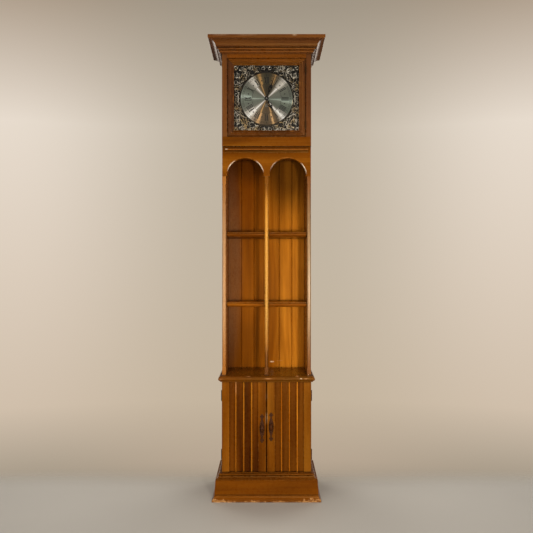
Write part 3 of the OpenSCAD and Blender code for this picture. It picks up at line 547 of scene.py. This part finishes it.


# Knocks and rubbed places are spots, and so are painted shade, painted light and painted highlights. Their places
# follow the boards in the CAD frame.
BOARDS = {
    "plinth_left": board("Y", 0.8, 0.80),
    "plinth_right": board("Y", 0.8, 0.80),
    "base_moulding_front": board("X", 0.5, 0.46, spots=[
        ((0.196, -0.11, 0.104), (0.008, 0.02, 0.004), WORN_SPOT, 0.6)]),
    "base_moulding_left": board("Y", 0.5, 0.5),
    "base_moulding_right": board("Y", 0.5, 0.5),
    "cabinet_floor": board("X", 0.6, 0.8),
    "cabinet_side_left": board("Z", 0.8, 0.80),
    "cabinet_side_right": board("Z", 0.8, 0.80),
    "waist_board": board("X", 0.6, 0.36, gloss=0.04, spots=[
        # knocks along the nose, then along its top edge
        ((0.006, -0.112, 0.505), (0.022, 0.02, 0.004), WORN_SPOT, 0.6),
        ((0.143, -0.112, 0.505), (0.007, 0.02, 0.004), PALE_SPOT, 0.95),
        ((0.163, -0.112, 0.505), (0.013, 0.02, 0.003), WORN_SPOT, 0.8),
        ((0.128, -0.108, 0.514), (0.010, 0.02, 0.003), WORN_SPOT, 0.7),
        ((-0.075, -0.108, 0.513), (0.012, 0.02, 0.002), WORN_SPOT, 0.5),
        ((-0.19, -0.112, 0.503), (0.012, 0.02, 0.004), WORN_SPOT, 0.4)]),
    # the left side is toned much lighter than the right: painted light
    "trunk_side_left": board("Z", 0.8, 1.45, figure=0.7, veil=0.12),
    "trunk_side_right": board("Z", 0.8, 0.92, figure=0.7, veil=0.08),
    # drift makes the boards lighter towards the right: painted light
    "back_panel": board("Z", 0.4, 1.22, strips=(0.057, 0.0285, 0.14), figure=0.7, drift=(0.0, 2.8), gloss=0.0,
                        shine=0.05, grime=0.6, spots=[
        # painted shade at the top of both compartments and low on the left, then painted pale fill light down the
        # left edge
        ((-0.09, 0.139, 1.46), (0.16, 0.05, 0.15), SHADOW, 0.5),
        ((0.10, 0.139, 1.46), (0.18, 0.05, 0.32), SHADOW, 0.76),
        ((-0.10, 0.139, 0.60), (0.14, 0.05, 0.20), SHADOW, 0.3),
        ((-0.160, 0.139, 0.98), (0.060, 0.05, 0.56), srgb(150, 110, 76), 0.34),
        # a chip and a scratch above the counter
        ((0.024, 0.139, 0.541), (0.012, 0.01, 0.0042), PALE_SPOT, 0.9),
        ((0.058, 0.139, 0.546), (0.020, 0.01, 0.0016), WORN_SPOT, 0.6)]),
    "shelf_lower": board("X", 0.5, 0.95),
    "shelf_upper": board("X", 0.5, 0.9),
    # the posts carry a painted pale sheen over most of their length
    "post_left": board("Z", 0.6, 0.9, veil=0.05, edge_wear=0.6, gloss=0.18, spots=[
        ((-0.172, -0.09, 0.95), (0.05, 0.20, 0.46), srgb(206, 190, 156), 0.28)]),
    "post_right": board("Z", 0.6, 0.85, veil=0.06, edge_wear=0.6, gloss=0.2, spots=[
        ((0.172, -0.09, 0.95), (0.05, 0.20, 0.46), srgb(200, 186, 144), 0.30)]),
    "centre_post": board("Z", 0.5, 1.7, edge_wear=0.5, gloss=0.12, spots=[
        # painted golden light between two ends in painted shade
        ((0.0, -0.09, 0.97), (0.05, 0.20, 0.46), srgb(240, 186, 82), 0.46),
        ((0.0, -0.09, 1.36), (0.05, 0.20, 0.13), SHADOW, 0.6),
        ((0.0, -0.09, 0.53), (0.05, 0.20, 0.14), SHADOW, 0.65)]),
    "arch_spandrel": board("X", 1.4, 0.76, figure=0.6, spots=[
        # painted highlights on the arches' bevels at both feet of each arch
        ((-0.141, -0.13, 1.388), (0.032, 0.20, 0.036), GLINT, 0.75, True),
        ((-0.031, -0.13, 1.390), (0.032, 0.20, 0.036), GLINT, 0.75, True),
        ((0.038, -0.13, 1.386), (0.028, 0.20, 0.034), GLINT, 0.5, True),
        ((0.152, -0.13, 1.380), (0.026, 0.20, 0.034), GLINT, 0.75, True)]),
    "neck_bead": board("X", 0.4, 0.34, spots=[
        # a painted highlight along the bead's crown, painted shade under it, and a chip at the left end
        ((0.0, -0.1, 1.4617), (0.6, 0.2, 0.0030), srgb(176, 104, 40), 0.6),
        ((0.0, -0.1, 1.4552), (0.6, 0.2, 0.0030), SHADOW, 0.5),
        ((-0.168, -0.092, 1.463), (0.007, 0.02, 0.004), PALE_SPOT, 0.75)]),
    "hood_floor": board("X", 0.6, 0.8),
    "hood_top": board("X", 0.6, 0.8),
    "cornice_front": board("X", 0.4, 0.56, veil=0.10, spots=[
        # painted light in the cove, then wear along the top edge
        ((0.0, -0.13, 1.871), (0.5, 0.20, 0.014), srgb(176, 104, 36), 0.35),
        ((0.115, -0.15, 1.921), (0.012, 0.03, 0.003), PALE_SPOT, 0.7),
        ((-0.08, -0.15, 1.921), (0.06, 0.03, 0.0022), PALE_SPOT, 0.25),
        ((-0.19, -0.15, 1.921), (0.04, 0.03, 0.0022), PALE_SPOT, 0.25)]),
    "cornice_left": board("Y", 0.4, 0.58, veil=0.10),
    "cornice_right": board("Y", 0.4, 0.58, veil=0.10),
    "rear_cover": board("X", 0.6, 0.8),
    "dial_board": board("Z", 0.6, 0.7),
    "door_ribs_left": board("Z", 0.5, 0.95, drift=(-0.2, 1.2), spots=[
        ((-0.128, -0.105, 0.47), (0.004, 0.02, 0.05), WORN_SPOT, 0.5)]),
    "door_ribs_right": board("Z", 0.5, 1.3, drift=(-0.2, 1.6)),
}


def remade(node, suffix, bm, materials, smooth_angle=35, slot=None):
    """Stands a finished mesh in for the CAD node that it was made from."""
    slot = slot or SLOTS[node]
    piece = new_object(node + suffix, finished(bm, node), materials, body_of(node), smooth_angle)
    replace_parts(piece, node)


def build_boards():
    for i, (node, (grain, bevel, tone, looks)) in enumerate(BOARDS.items()):
        bm = welded(node)
        soften(bm, bevel * MM)
        if node == "arch_spandrel":
            mark_slants(bm)
        remade(node, "_board", bm, [wood(node + "_wood", grain, 100 + i, tone, **looks)])


# The foot is cut into a fine grid, then pushed back wherever it is chipped.
GRID_TOP, GRID_COLUMN = 16.5 * MM, 3.2 * MM
GRID_HEIGHTS = range(2, 17, 2)
FOOT_DEPTH = 14 * MM
CHIP_HEIGHT, CHIP_REACH, CHIP_FADE = 3 * MM, 14 * MM, 4 * MM
CORNER_SHARE, END_FROM, END_OVER = 0.16, 0.78, 0.10
PLACES = 400


def build_plinth_front():
    """The front plinth board, chipped to bare wood along its foot, most at the left corner and the right end."""
    node = "plinth_front"
    bm = welded(node)
    soften(bm, 0.6 * MM)
    low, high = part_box(node)
    width = high.x - low.x
    cut_every(bm, (1, 0, 0), [(low.x + k * GRID_COLUMN, 0, 0) for k in range(1, int(width / GRID_COLUMN))])
    cut_every(bm, (0, 0, 1), [(0, 0, z * MM) for z in GRID_HEIGHTS])
    chip = bm.verts.layers.float.new("chip")
    draw = np.random.default_rng(7)
    coarse, ragged = (np.interp(np.linspace(0, 1, PLACES), np.linspace(0, 1, n), draw.uniform(0, 1, n))
                      for n in (46, 150))
    for v in bm.verts:
        if v.co.z > GRID_TOP or v.co.y > low.y + FOOT_DEPTH:
            continue
        share = (v.co.x - low.x) / width
        at = min(PLACES - 1, max(0, int(share * (PLACES - 1))))
        left_corner = max(0.0, 1 - share / CORNER_SHARE)
        right_end = max(0.0, min(1.0, (share - END_FROM) / END_OVER))
        reach = 0.40 + 0.72 * max(left_corner ** 0.5, right_end)
        reach *= (0.25 + 1.0 * coarse[at]) * (0.5 + 0.8 * ragged[at])
        depth = max(0.0, min(1.0, (reach * CHIP_REACH - abs(v.co.z - CHIP_HEIGHT)) / CHIP_FADE))
        v[chip] = depth
        v.co.y += depth * (0.5 + 1.0 * draw.uniform()) * MM
    # a line of painted shade under the step at the top of the foot
    under_the_step = ((0, low.y, 0.0275), (0.6, 0.06, 0.0045), SHADOW, 0.55)
    chipped = wood("plinth_front_wood", "X", 91, 0.84, 0.55, chips=0.85, spots=[under_the_step])
    remade(node, "_board", bm, [chipped], 40)


def build_framed(node, seed, tone, stile_from):
    """A frame of stiles and rails. Each member has its own grain, and a frame with no stile_from is mitred."""
    middle = centre("dial_disc")
    bm = welded(node)
    soften(bm, 0.5 * MM)
    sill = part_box("dial_door_frame")[0].z
    if stile_from is None:
        cut_every(bm, (1, 0, 1), [(0, 0, middle.z)])
        cut_every(bm, (1, 0, -1), [(0, 0, middle.z)])
    else:
        cut_every(bm, (1, 0, 0), [(-stile_from, 0, 0), (stile_from, 0, 0)])
        cut_every(bm, (0, 0, 1), [(0, 0, sill)])
    for face in bm.faces:
        c = face.calc_center_median()
        if stile_from is None:
            upright = abs(c.x) > abs(c.z - middle.z)
        else:
            upright = abs(c.x) > stile_from and c.z > sill
        face.material_index = 0 if upright else 1
    # painted light along the top rail under the cornice
    painted_light_on_top_rail = ((0, middle.y, 1.852), (0.5, 0.3, 0.030), srgb(170, 98, 36), 0.35)
    stile = wood(node + "_stile_wood", "Z", seed, tone * 0.84, 0.7, gloss=0.12, veil=0.11)
    rail = wood(node + "_rail_wood", "X", seed + 1, tone, 0.7, gloss=0.12, spots=[painted_light_on_top_rail])
    remade(node, "_joined", bm, [stile, rail])


def build_doors():
    """Cabinet doors. The recessed field gets painted shade, each door darkens towards the meeting stiles as painted
    shade, and a pale streak runs down where the doors meet.
    """
    # drift darkens each door towards the meeting stiles, and the right door is toned darker: painted shade
    for side, node, tone, drift in ((-1, "door_left", 0.69, (-0.10, -1.6)), (1, "door_right", 0.60, (0.12, 2.0))):
        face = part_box(node)[0].y
        bm = welded(node)
        soften(bm, 0.7 * MM)
        pale = [((0.0, face, 0.340), (0.0050, 0.012, 0.040), srgb(190, 160, 124), 0.95),
                ((0.0, face, 0.430), (0.0045, 0.012, 0.030), srgb(150, 120, 96), 0.7)]
        field = (face + 2.6 * MM, face + 8 * MM, (0.60, 0.50, 0.40))
        fluted = wood(node + "_wood", "Z", 130 + side, tone, spots=pale, recess=field, drift=drift)
        remade(node, "_panel", bm, [fluted])


# ---------------------------------------------------------------- the dial plate's scrollwork

# The plate is worked out in mm from its middle. Cells are the spacing of its height field.
CELL = 0.8
HALF = 140.0
DISC_EDGE = 113.4
HOLE = 108.0
RELIEF = 5.0 * MM
# Scrolls over one quarter: middle x, y, outer and inner radius, start angle, turns, stroke, height, sense of turning.
SCROLLS = [
    (117, 98, 15, 2, 2.6, 1.5, 1.8, 1.0, 1),
    (127, 66, 11, 2, 1.2, 1.4, 1.6, 0.95, -1),
    (126, 38, 9, 1.5, 4.4, 1.4, 1.5, 0.85, 1),
    (127, 14, 9, 1.5, 2.0, 1.4, 1.6, 0.9, -1),
    (129, 128, 9, 1.5, 0.3, 1.3, 1.6, 0.9, 1),
    (101, 78, 8, 1.5, 5.6, 1.3, 1.5, 0.8, -1),
]
TENDRILS = 330
TENDRIL_STEP = 0.75


def scroll_field():
    """Height of the scrollwork over one quarter of the plate, from 0 to 1."""
    n = int(HALF / CELL) + 1
    field = np.zeros((n, n))
    draw = random.Random(31)

    def stroke(points, r0, r1, peak):
        """A rounded ridge along points, from radius r0 to r1, thin at both ends."""
        for i, (x, y) in enumerate(points):
            s = i / (len(points) - 1)
            r = (r0 + (r1 - r0) * s) * (0.45 + 0.55 * math.sin(math.pi * min(1, s * 1.15 + 0.12)))
            if r < 0.5:
                continue
            i0, i1 = max(0, int((x - r) / CELL)), min(n - 1, int((x + r) / CELL) + 1)
            j0, j1 = max(0, int((y - r) / CELL)), min(n - 1, int((y + r) / CELL) + 1)
            if i1 <= i0 or j1 <= j0:
                continue
            gx = (np.arange(i0, i1 + 1) * CELL - x)[:, None]
            gy = (np.arange(j0, j1 + 1) * CELL - y)[None, :]
            bump = peak * np.sqrt(np.clip(1 - (gx * gx + gy * gy) / (r * r), 0, 1))
            window = field[i0:i1 + 1, j0:j1 + 1]
            np.maximum(window, bump, out=window)

    def spiral(cx, cy, r_out, r_in, start, turns, width, peak, sense):
        steps = 70
        points = []
        for k in range(steps):
            s = k / (steps - 1)
            r = r_out + (r_in - r_out) * s ** 0.8
            a = start + sense * turns * math.tau * s
            points.append((cx + r * math.cos(a), cy + r * math.sin(a)))
        stroke(points, width, width * 0.55, peak)

    for cx, cy, r_out, r_in, start, turns, width, peak, sense in SCROLLS:
        spiral(cx, cy, r_out, r_in, start, turns, width, peak, sense)
        spiral(cy, cx, r_out, r_in, math.pi / 2 - start, turns, width, peak, -sense)
    # a stem on the quarter's axis, then a leaf on each side of the corner
    stroke([(124 * math.cos(a) - 4, 124 * math.sin(a)) for a in np.linspace(-0.02, 0.22, 40)], 2.6, 1.4, 1.0)
    leaf = [(112 + 0.22 * k, 84 + 0.62 * k) for k in range(40)]
    stroke(leaf, 2.6, 1.0, 0.9)
    stroke([(y, x) for x, y in leaf], 2.6, 1.0, 0.9)
    for _ in range(TENDRILS):
        x, y = draw.uniform(0, HALF - 2), draw.uniform(0, HALF - 2)
        if math.hypot(x, y) < DISC_EDGE + 2 or draw.random() < 0.1:
            continue
        curve = draw.uniform(-0.20, 0.20)
        heading = draw.uniform(0, math.tau)
        points = []
        for _ in range(draw.randint(12, 26)):
            points.append((x, y))
            x, y = x + TENDRIL_STEP * math.cos(heading), y + TENDRIL_STEP * math.sin(heading)
            heading += curve
        stroke(points, draw.uniform(1.1, 1.7), draw.uniform(0.8, 1.1), draw.uniform(0.55, 1.0))
    return field


def build_plate():
    quarter = scroll_field()
    n = quarter.shape[0]
    field = np.concatenate([quarter[:0:-1], quarter])
    field = np.concatenate([field[:, :0:-1], field], axis=1)
    size = 2 * n - 1
    axis = (np.arange(size) - (n - 1)) * CELL
    gx, gz = np.meshgrid(axis, axis, indexing="ij")
    radius = np.hypot(gx, gz)
    border = np.clip((np.maximum(abs(gx), abs(gz)) - (HALF - 2.5)) / 1.0, 0, 1)
    crown = np.exp(-((radius - DISC_EDGE - 0.8) / 0.9) ** 2) * 0.35
    field = np.where(radius < DISC_EDGE, 0, field)
    field = np.maximum(np.maximum(field, 0.45 * border), crown)
    draw = np.random.default_rng(5)
    field = np.clip(field + draw.normal(0, 0.012, field.shape), 0, 1.02)

    low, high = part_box("dial_plate")
    middle = centre("dial_plate")
    front = np.stack([gx * MM + middle.x, low.y - field * RELIEF, gz * MM + middle.z], -1).reshape(-1, 3)
    back = np.stack([gx * MM + middle.x, np.full_like(gx, high.y), gz * MM + middle.z], -1).reshape(-1, 3)
    keep = np.hypot(gx[:-1, :-1] + CELL / 2, gz[:-1, :-1] + CELL / 2) > HOLE
    points = size * size
    index = np.arange(points).reshape(size, size)
    a, b, c, d = index[:-1, :-1][keep], index[1:, :-1][keep], index[1:, 1:][keep], index[:-1, 1:][keep]
    faces = np.stack([a, b, c, d], 1)
    behind = np.stack([d, c, b, a], 1) + points
    # walls join front and back along every edge that belongs to one face only
    edges = np.concatenate([faces[:, [k, (k + 1) % 4]] for k in range(4)])
    key = edges.min(axis=1) * points + edges.max(axis=1)
    _, first, count = np.unique(key, return_index=True, return_counts=True)
    open_edges = edges[first[count == 1]]
    walls = np.concatenate([open_edges[:, ::-1], open_edges + points], axis=1)
    every = np.concatenate([faces, behind, walls])
    used, compact = np.unique(every, return_inverse=True)
    mesh = bpy.data.meshes.new("dial_plate_relief")
    mesh.from_pydata(np.concatenate([front, back])[used].tolist(), [], compact.reshape(every.shape).tolist())
    height = np.concatenate([field.reshape(-1), np.zeros(points)])[used]
    mesh.attributes.new("relief", "FLOAT", "POINT").data.foreach_set("value", height.astype(np.float32))
    for polygon in mesh.polygons:
        polygon.use_smooth = True
    piece = new_object("dial_plate_scrollwork", mesh, [cast_plate()], body_of("dial_plate"), 50)
    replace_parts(piece, "dial_plate")


# ---------------------------------------------------------------- dial printing

NUMERALS = ["I", "II", "III", "IIII", "V", "VI", "VII", "VIII", "IX", "X", "XI", "XII"]
# In mm: widths of the letters and of their strokes, and how far the print stands off the dial.
LETTER_WIDTH = {"I": 5.4, "V": 11.0, "X": 11.0}
UPRIGHT, BROAD, V_THIN, X_THIN = 3.4, 3.8, 1.5, 2.0
SERIF, SERIF_REACH = 1.2, 2.5
LIFT, THICKNESS = 0.20, 0.30


def bar(x0, y0, x1, y1, width):
    """A slanted stroke with level ends, as a quadrilateral."""
    h = width / 2
    return [(x0 - h, y0), (x1 - h, y1), (x1 + h, y1), (x0 + h, y0)]


def letter(kind, left, low, high):
    """Strokes of one Roman letter between two heights, with its serifs."""
    right = left + LETTER_WIDTH[kind]
    mid = (left + right) / 2
    top = high - SERIF
    if kind == "I":
        strokes = [bar(mid, low, mid, high, UPRIGHT)]
        ends = [(mid, low), (mid, top)]
    elif kind == "V":
        strokes = [bar(left + 2.4, high, mid + 0.4, low, BROAD), bar(right - 1.9, high, mid + 0.4, low, V_THIN)]
        ends = [(left + 2.2, top), (right - 1.8, top)]
    else:
        strokes = [bar(left + 2.4, high, right - 2.4, low, BROAD), bar(right - 1.9, high, left + 1.9, low, X_THIN)]
        ends = [(left + 2.0, low), (right - 2.0, low), (left + 2.0, top), (right - 2.0, top)]
    for x, y in ends:
        strokes.append([(x - SERIF_REACH, y), (x + SERIF_REACH, y),
                        (x + SERIF_REACH, y + SERIF), (x - SERIF_REACH, y + SERIF)])
    return strokes


def build_dial_printing():
    """Numerals, half-hour dots, minute track and lines, each a thin shape lying on the dial."""
    middle = centre("dial_disc")
    dial_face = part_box("dial_disc")[0].y
    vertices, faces = [], []

    def place(points, turn, lift=LIFT):
        """Adds a flat shape drawn upright at twelve, turned clockwise and lifted off the dial, in mm."""
        c, s = math.cos(turn), math.sin(turn)
        flat = [((u * c + v * s) * MM + middle.x, (v * c - u * s) * MM + middle.z) for u, v in points]
        base, n = len(vertices), len(flat)
        if sum(flat[i - 1][0] * flat[i][1] - flat[i][0] * flat[i - 1][1] for i in range(n)) < 0:
            flat.reverse()
        front = dial_face - lift * MM
        for y in (front, front + THICKNESS * MM):
            vertices.extend((x, y, z) for x, z in flat)
        faces.append(tuple(range(base, base + n)))
        faces.append(tuple(range(base + 2 * n - 1, base + n - 1, -1)))
        for i in range(n):
            j = (i + 1) % n
            faces.append((base + i, base + n + i, base + n + j, base + j))

    for hour, word in enumerate(NUMERALS, 1):
        turn = hour * math.tau / 12
        left = -sum(LETTER_WIDTH[c] for c in word) / 2
        for k, kind in enumerate(word):
            for j, points in enumerate(letter(kind, left, NUMERALS_FROM, NUMERALS_TO)):
                # crossing strokes lie at slightly different heights
                place(points, turn, LIFT + 0.004 * j + 0.001 * k)
            left += LETTER_WIDTH[kind]
        place(HALF_HOUR_DOT, turn + math.tau / 24)
    for minute in range(60):
        w = MINUTE_HALF if minute % 5 else HOUR_HALF
        place([(-w, TRACK_FROM), (w, TRACK_FROM), (w, TRACK_TO), (-w, TRACK_TO)], minute * math.tau / 60)
    steps = 144
    for r0, r1 in PRINTED_LINES:
        for k in range(steps):
            a0, a1 = math.tau * k / steps, math.tau * (k + 1) / steps
            place([(r * math.sin(a), r * math.cos(a)) for r, a in ((r0, a0), (r0, a1), (r1, a1), (r1, a0))], 0.0)
    mesh = finished(from_lists(vertices, faces), "dial_printing")
    new_object("dial_printing", mesh, [printed_ink()], body_of("dial_disc"), 30)


# ---------------------------------------------------------------- metalwork


def ring(name, middle, y_front, r_in, r_out, depth, material, body):
    """A turned steel ring with a rounded front, facing the front of the clock."""
    crown, half = 0.4 * depth, (r_out - r_in) / 2
    profile = [(r_in, y_front + depth), (r_in, y_front + crown)]
    for k in range(7):
        a = math.pi * k / 6
        profile.append((r_in + half - half * math.cos(a), y_front + crown * (1 - math.sin(a))))
    profile.append((r_out, y_front + depth))
    steps, n = 96, len(profile)
    vertices = [(middle.x + r * math.sin(math.tau * k / steps), y, middle.z + r * math.cos(math.tau * k / steps))
                for k in range(steps) for r, y in profile]
    faces = [(k * n + i, k * n + (i + 1) % n, ((k + 1) % steps) * n + (i + 1) % n, ((k + 1) % steps) * n + i)
             for k in range(steps) for i in range(n)]
    new_object(name, finished(from_lists(vertices, faces), name), [material], body, 40)


def dome(name, at, r, rise, material, body):
    """A domed nail head facing the front."""
    rings, steps = 5, 24
    vertices, faces = [], []
    for i in range(rings):
        a = math.pi / 2 * i / rings
        for k in range(steps):
            b = math.tau * k / steps
            out = r * math.cos(a)
            vertices.append((at[0] + out * math.cos(b), at[1] - rise * math.sin(a), at[2] + out * math.sin(b)))
    vertices.append((at[0], at[1] - rise, at[2]))
    vertices.append((at[0], at[1] + 0.4 * MM, at[2]))
    top, back = rings * steps, rings * steps + 1
    for k in range(steps):
        j = (k + 1) % steps
        for i in range(0, top - steps, steps):
            faces.append((i + k, i + j, i + steps + j, i + steps + k))
        faces.append((top - steps + k, top - steps + j, top))
        faces.append((j, k, back))
    new_object(name, finished(from_lists(vertices, faces), name), [material], body, 60)


def build_metalwork():
    """Metal and glass for the CAD nodes that stay, then the hands, pulls, nail heads and rings."""
    iron = metal("antique_iron_cast", srgb(36, 17, 4), srgb(78, 40, 12), 0.34, metallic=0.0, scale=260, grime=0.6,
                 bump=0.5, shine=0.10)
    black = metal("blued_hands", srgb(12, 12, 12), srgb(26, 25, 23), 0.34, metallic=0.5, scale=420, grime=0.2,
                  bump=0.1)
    brass = metal("brass_lacquered", (0.50, 0.33, 0.11), (0.66, 0.46, 0.18), 0.28, scale=90, bump=0.08,
                  stretch=(1, 1, 0.1))
    steel = metal("steel_plain", (0.36, 0.36, 0.37), (0.52, 0.52, 0.53), 0.30, scale=140, grime=0.4, bump=0.08,
                  stretch=(0.1, 1, 1))
    tarnished = metal("brass_tarnished", srgb(58, 40, 20), srgb(98, 70, 36), 0.42, metallic=0.6, scale=200, grime=0.6)
    nut = metal("nut_steel", srgb(104, 106, 102), srgb(150, 152, 146), 0.3, metallic=0.5, scale=300, grime=0.2,
                bump=0.1)
    pale = metal("winding_collar", srgb(120, 116, 104), srgb(176, 172, 158), 0.3, metallic=0.8, scale=300, grime=0.4,
                 bump=0.1)
    of_slot = {"brass": brass, "steel": steel, "antique_iron": iron, "glass": clear_glass(),
               "spun_silver": spun_dial()}
    of_node = {"dial_door_knuckles": tarnished, "dial_hinge_leaves": tarnished, "door_catch": iron}
    replaced = {node for piece in bpy.data.objects for node in piece.get("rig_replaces", [])}
    for node, solid in NODES.items():
        if node not in replaced:
            solid.data.materials.clear()
            solid.data.materials.append(of_node.get(node, of_slot[SLOTS[node]]))

    for node, bevel, coat in (("minute_hand", 0.22, black), ("hour_hand", 0.22, black), ("hand_nut", 0.2, nut)):
        bm = welded(node)
        soften(bm, bevel * MM, sharp=40)
        remade(node, "_blued", bm, [coat], 40, slot="steel")
    for node in ("pull_left", "pull_right"):
        bm = welded(node)
        soften(bm, 0.5 * MM, sharp=50, segments=3)
        remade(node, "_cast", bm, [iron])
        low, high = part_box(node)
        for end, z in (("top", high.z - 10 * MM), ("bottom", low.z + 10 * MM)):
            at = ((low.x + high.x) / 2, high.y - 2.2 * MM, z)
            dome(node + "_nail_" + end, at, 1.9 * MM, 1.0 * MM, iron, body_of(node))
    hand_face, dial_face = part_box("minute_hand")[0].y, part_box("dial_disc")[0].y
    ring("hand_washer", centre("dial_disc"), hand_face - 0.8 * MM, 2.6 * MM, 9.0 * MM, 1.0 * MM, black,
         body_of("minute_hand"))
    ring("winding_collar", centre("winding_arbor"), dial_face - 0.5 * MM, 4.6 * MM, 6.6 * MM, 0.6 * MM, pale,
         body_of("dial_disc"))


# ---------------------------------------------------------------- studio

# The backdrop: the sine of the height above the horizon, its tone at the sides, and its tone behind the clock.
BACKDROP = [
    (-0.357, (172, 166, 155), (178, 172, 160)), (-0.332, (158, 153, 143), (168, 161, 149)),
    (-0.308, (155, 148, 136), (160, 152, 137)), (-0.289, (156, 147, 132), (170, 155, 136)),
    (-0.269, (170, 157, 139), (182, 165, 145)), (-0.187, (208, 191, 171), (196, 180, 158)),
    (0.0, (220, 205, 188), (195, 182, 163)), (0.203, (231, 219, 205), (193, 182, 165)),
    (0.363, (171, 154, 135), (161, 150, 134)),
]
BACKDROP_REACH = 0.40
FILL_TONE, FILL = srgb(214, 200, 182), 0.18
WARM = (1.0, 0.93, 0.84)
# Name, place, aim, size, spread in degrees, power in watts. The lamps near the camera shade the compartments.
LIGHTS = [
    ("camera_right", (0.56, -2.90, 0.82), (0, 0, 0.87), (0.14, 0.20), 72, 7.8),
    ("camera_strip", (0.03, -2.90, 0.84), (0.015, 0, 0.88), (0.15, 1.2), 72, 2.0),
    ("camera_left", (-0.69, -2.85, 0.84), (0, 0, 0.88), (0.4, 0.5), 72, 3.9),
    ("side_left", (-2.2, -1.6, 1.1), (0, 0, 1.0), (0.9, 1.4), 120, 3.0),
    ("side_right", (2.2, -1.6, 1.1), (0, 0, 1.0), (0.9, 1.4), 120, 3.0),
    ("overhead", (0, -1.3, 3.2), (0, -0.6, 0), (2.2, 2.2), 120, 14),
    ("behind_left", (-1.9, 2.3, 1.5), (0, 0, 1.0), (1.8, 2.0), 120, 17),
    ("behind_right", (1.9, 2.3, 1.5), (0, 0, 1.0), (1.8, 2.0), 120, 17),
]
CAMERA_PLACE = (0.006, -2.935, 0.956)
LENS, SHIFT = 45.83, (-0.0028, 0.0066)


def build_floor():
    bpy.ops.mesh.primitive_grid_add(x_subdivisions=40, y_subdivisions=40, size=7, location=(0, 0, 0))
    floor = bpy.context.object
    floor.name = "studio_floor"
    floor.data.materials.append(paper_floor())


def build_backdrop():
    """A world that shows the backdrop to the camera and lights the clock with a soft even fill."""
    world = bpy.data.worlds.new("studio")
    world.use_nodes = True
    bpy.context.scene.world = world
    t = Nodes(world.node_tree, "Generated")
    x, _, z = t.xyz()
    height = t.span(z, -BACKDROP_REACH, BACKDROP_REACH, smooth=False)
    places = [(sine + BACKDROP_REACH) / (2 * BACKDROP_REACH) for sine, _, _ in BACKDROP]
    sides = t.ramp(height, [(place, srgb(*tone)) for place, (_, tone, _) in zip(places, BACKDROP)])
    behind = t.ramp(height, [(place, srgb(*tone)) for place, (_, _, tone) in zip(places, BACKDROP)])
    show, fill = t.add("ShaderNodeBackground"), t.add("ShaderNodeBackground")
    t.put(show.inputs[0], t.mix(t.span(t.math("ABSOLUTE", x), 0.07, 0.36), behind, sides))
    t.put(fill.inputs[0], FILL_TONE)
    t.put(fill.inputs[1], FILL)
    blend = t.add("ShaderNodeMixShader")
    t.put(blend.inputs[0], t.add("ShaderNodeLightPath").outputs["Is Camera Ray"])
    t.put(blend.inputs[1], fill.outputs[0])
    t.put(blend.inputs[2], show.outputs[0])
    t.put(t.add("ShaderNodeOutputWorld").inputs[0], blend.outputs[0])


def build_lights():
    for name, place, aim, size, spread, power in LIGHTS:
        light = bpy.data.lights.new(name, "AREA")
        light.shape = "RECTANGLE"
        light.size, light.size_y = size
        light.energy = power
        light.spread = math.radians(spread)
        light.color = WARM
        lamp = bpy.data.objects.new(name, light)
        lamp.location = place
        lamp.rotation_euler = (Vector(aim) - Vector(place)).to_track_quat("-Z", "Y").to_euler()
        lamp.visible_camera = False
        bpy.context.scene.collection.objects.link(lamp)


def build_camera():
    camera = bpy.data.cameras.new("camera")
    camera.sensor_width = 36
    camera.lens = LENS
    camera.shift_x, camera.shift_y = SHIFT
    view = bpy.data.objects.new("camera", camera)
    view.location = CAMERA_PLACE
    view.rotation_euler = (math.pi / 2, 0, 0)
    bpy.context.scene.collection.objects.link(view)
    bpy.context.scene.camera = view
    bpy.context.scene.view_settings.view_transform = "Standard"


build_boards()
build_plinth_front()
build_framed("hood_face_frame", 60, 0.58, stile_from=0.1655)
build_framed("dial_door_frame", 70, 0.46, stile_from=None)
build_doors()
build_plate()
build_dial_printing()
build_metalwork()
build_floor()
build_backdrop()
build_lights()
build_camera()
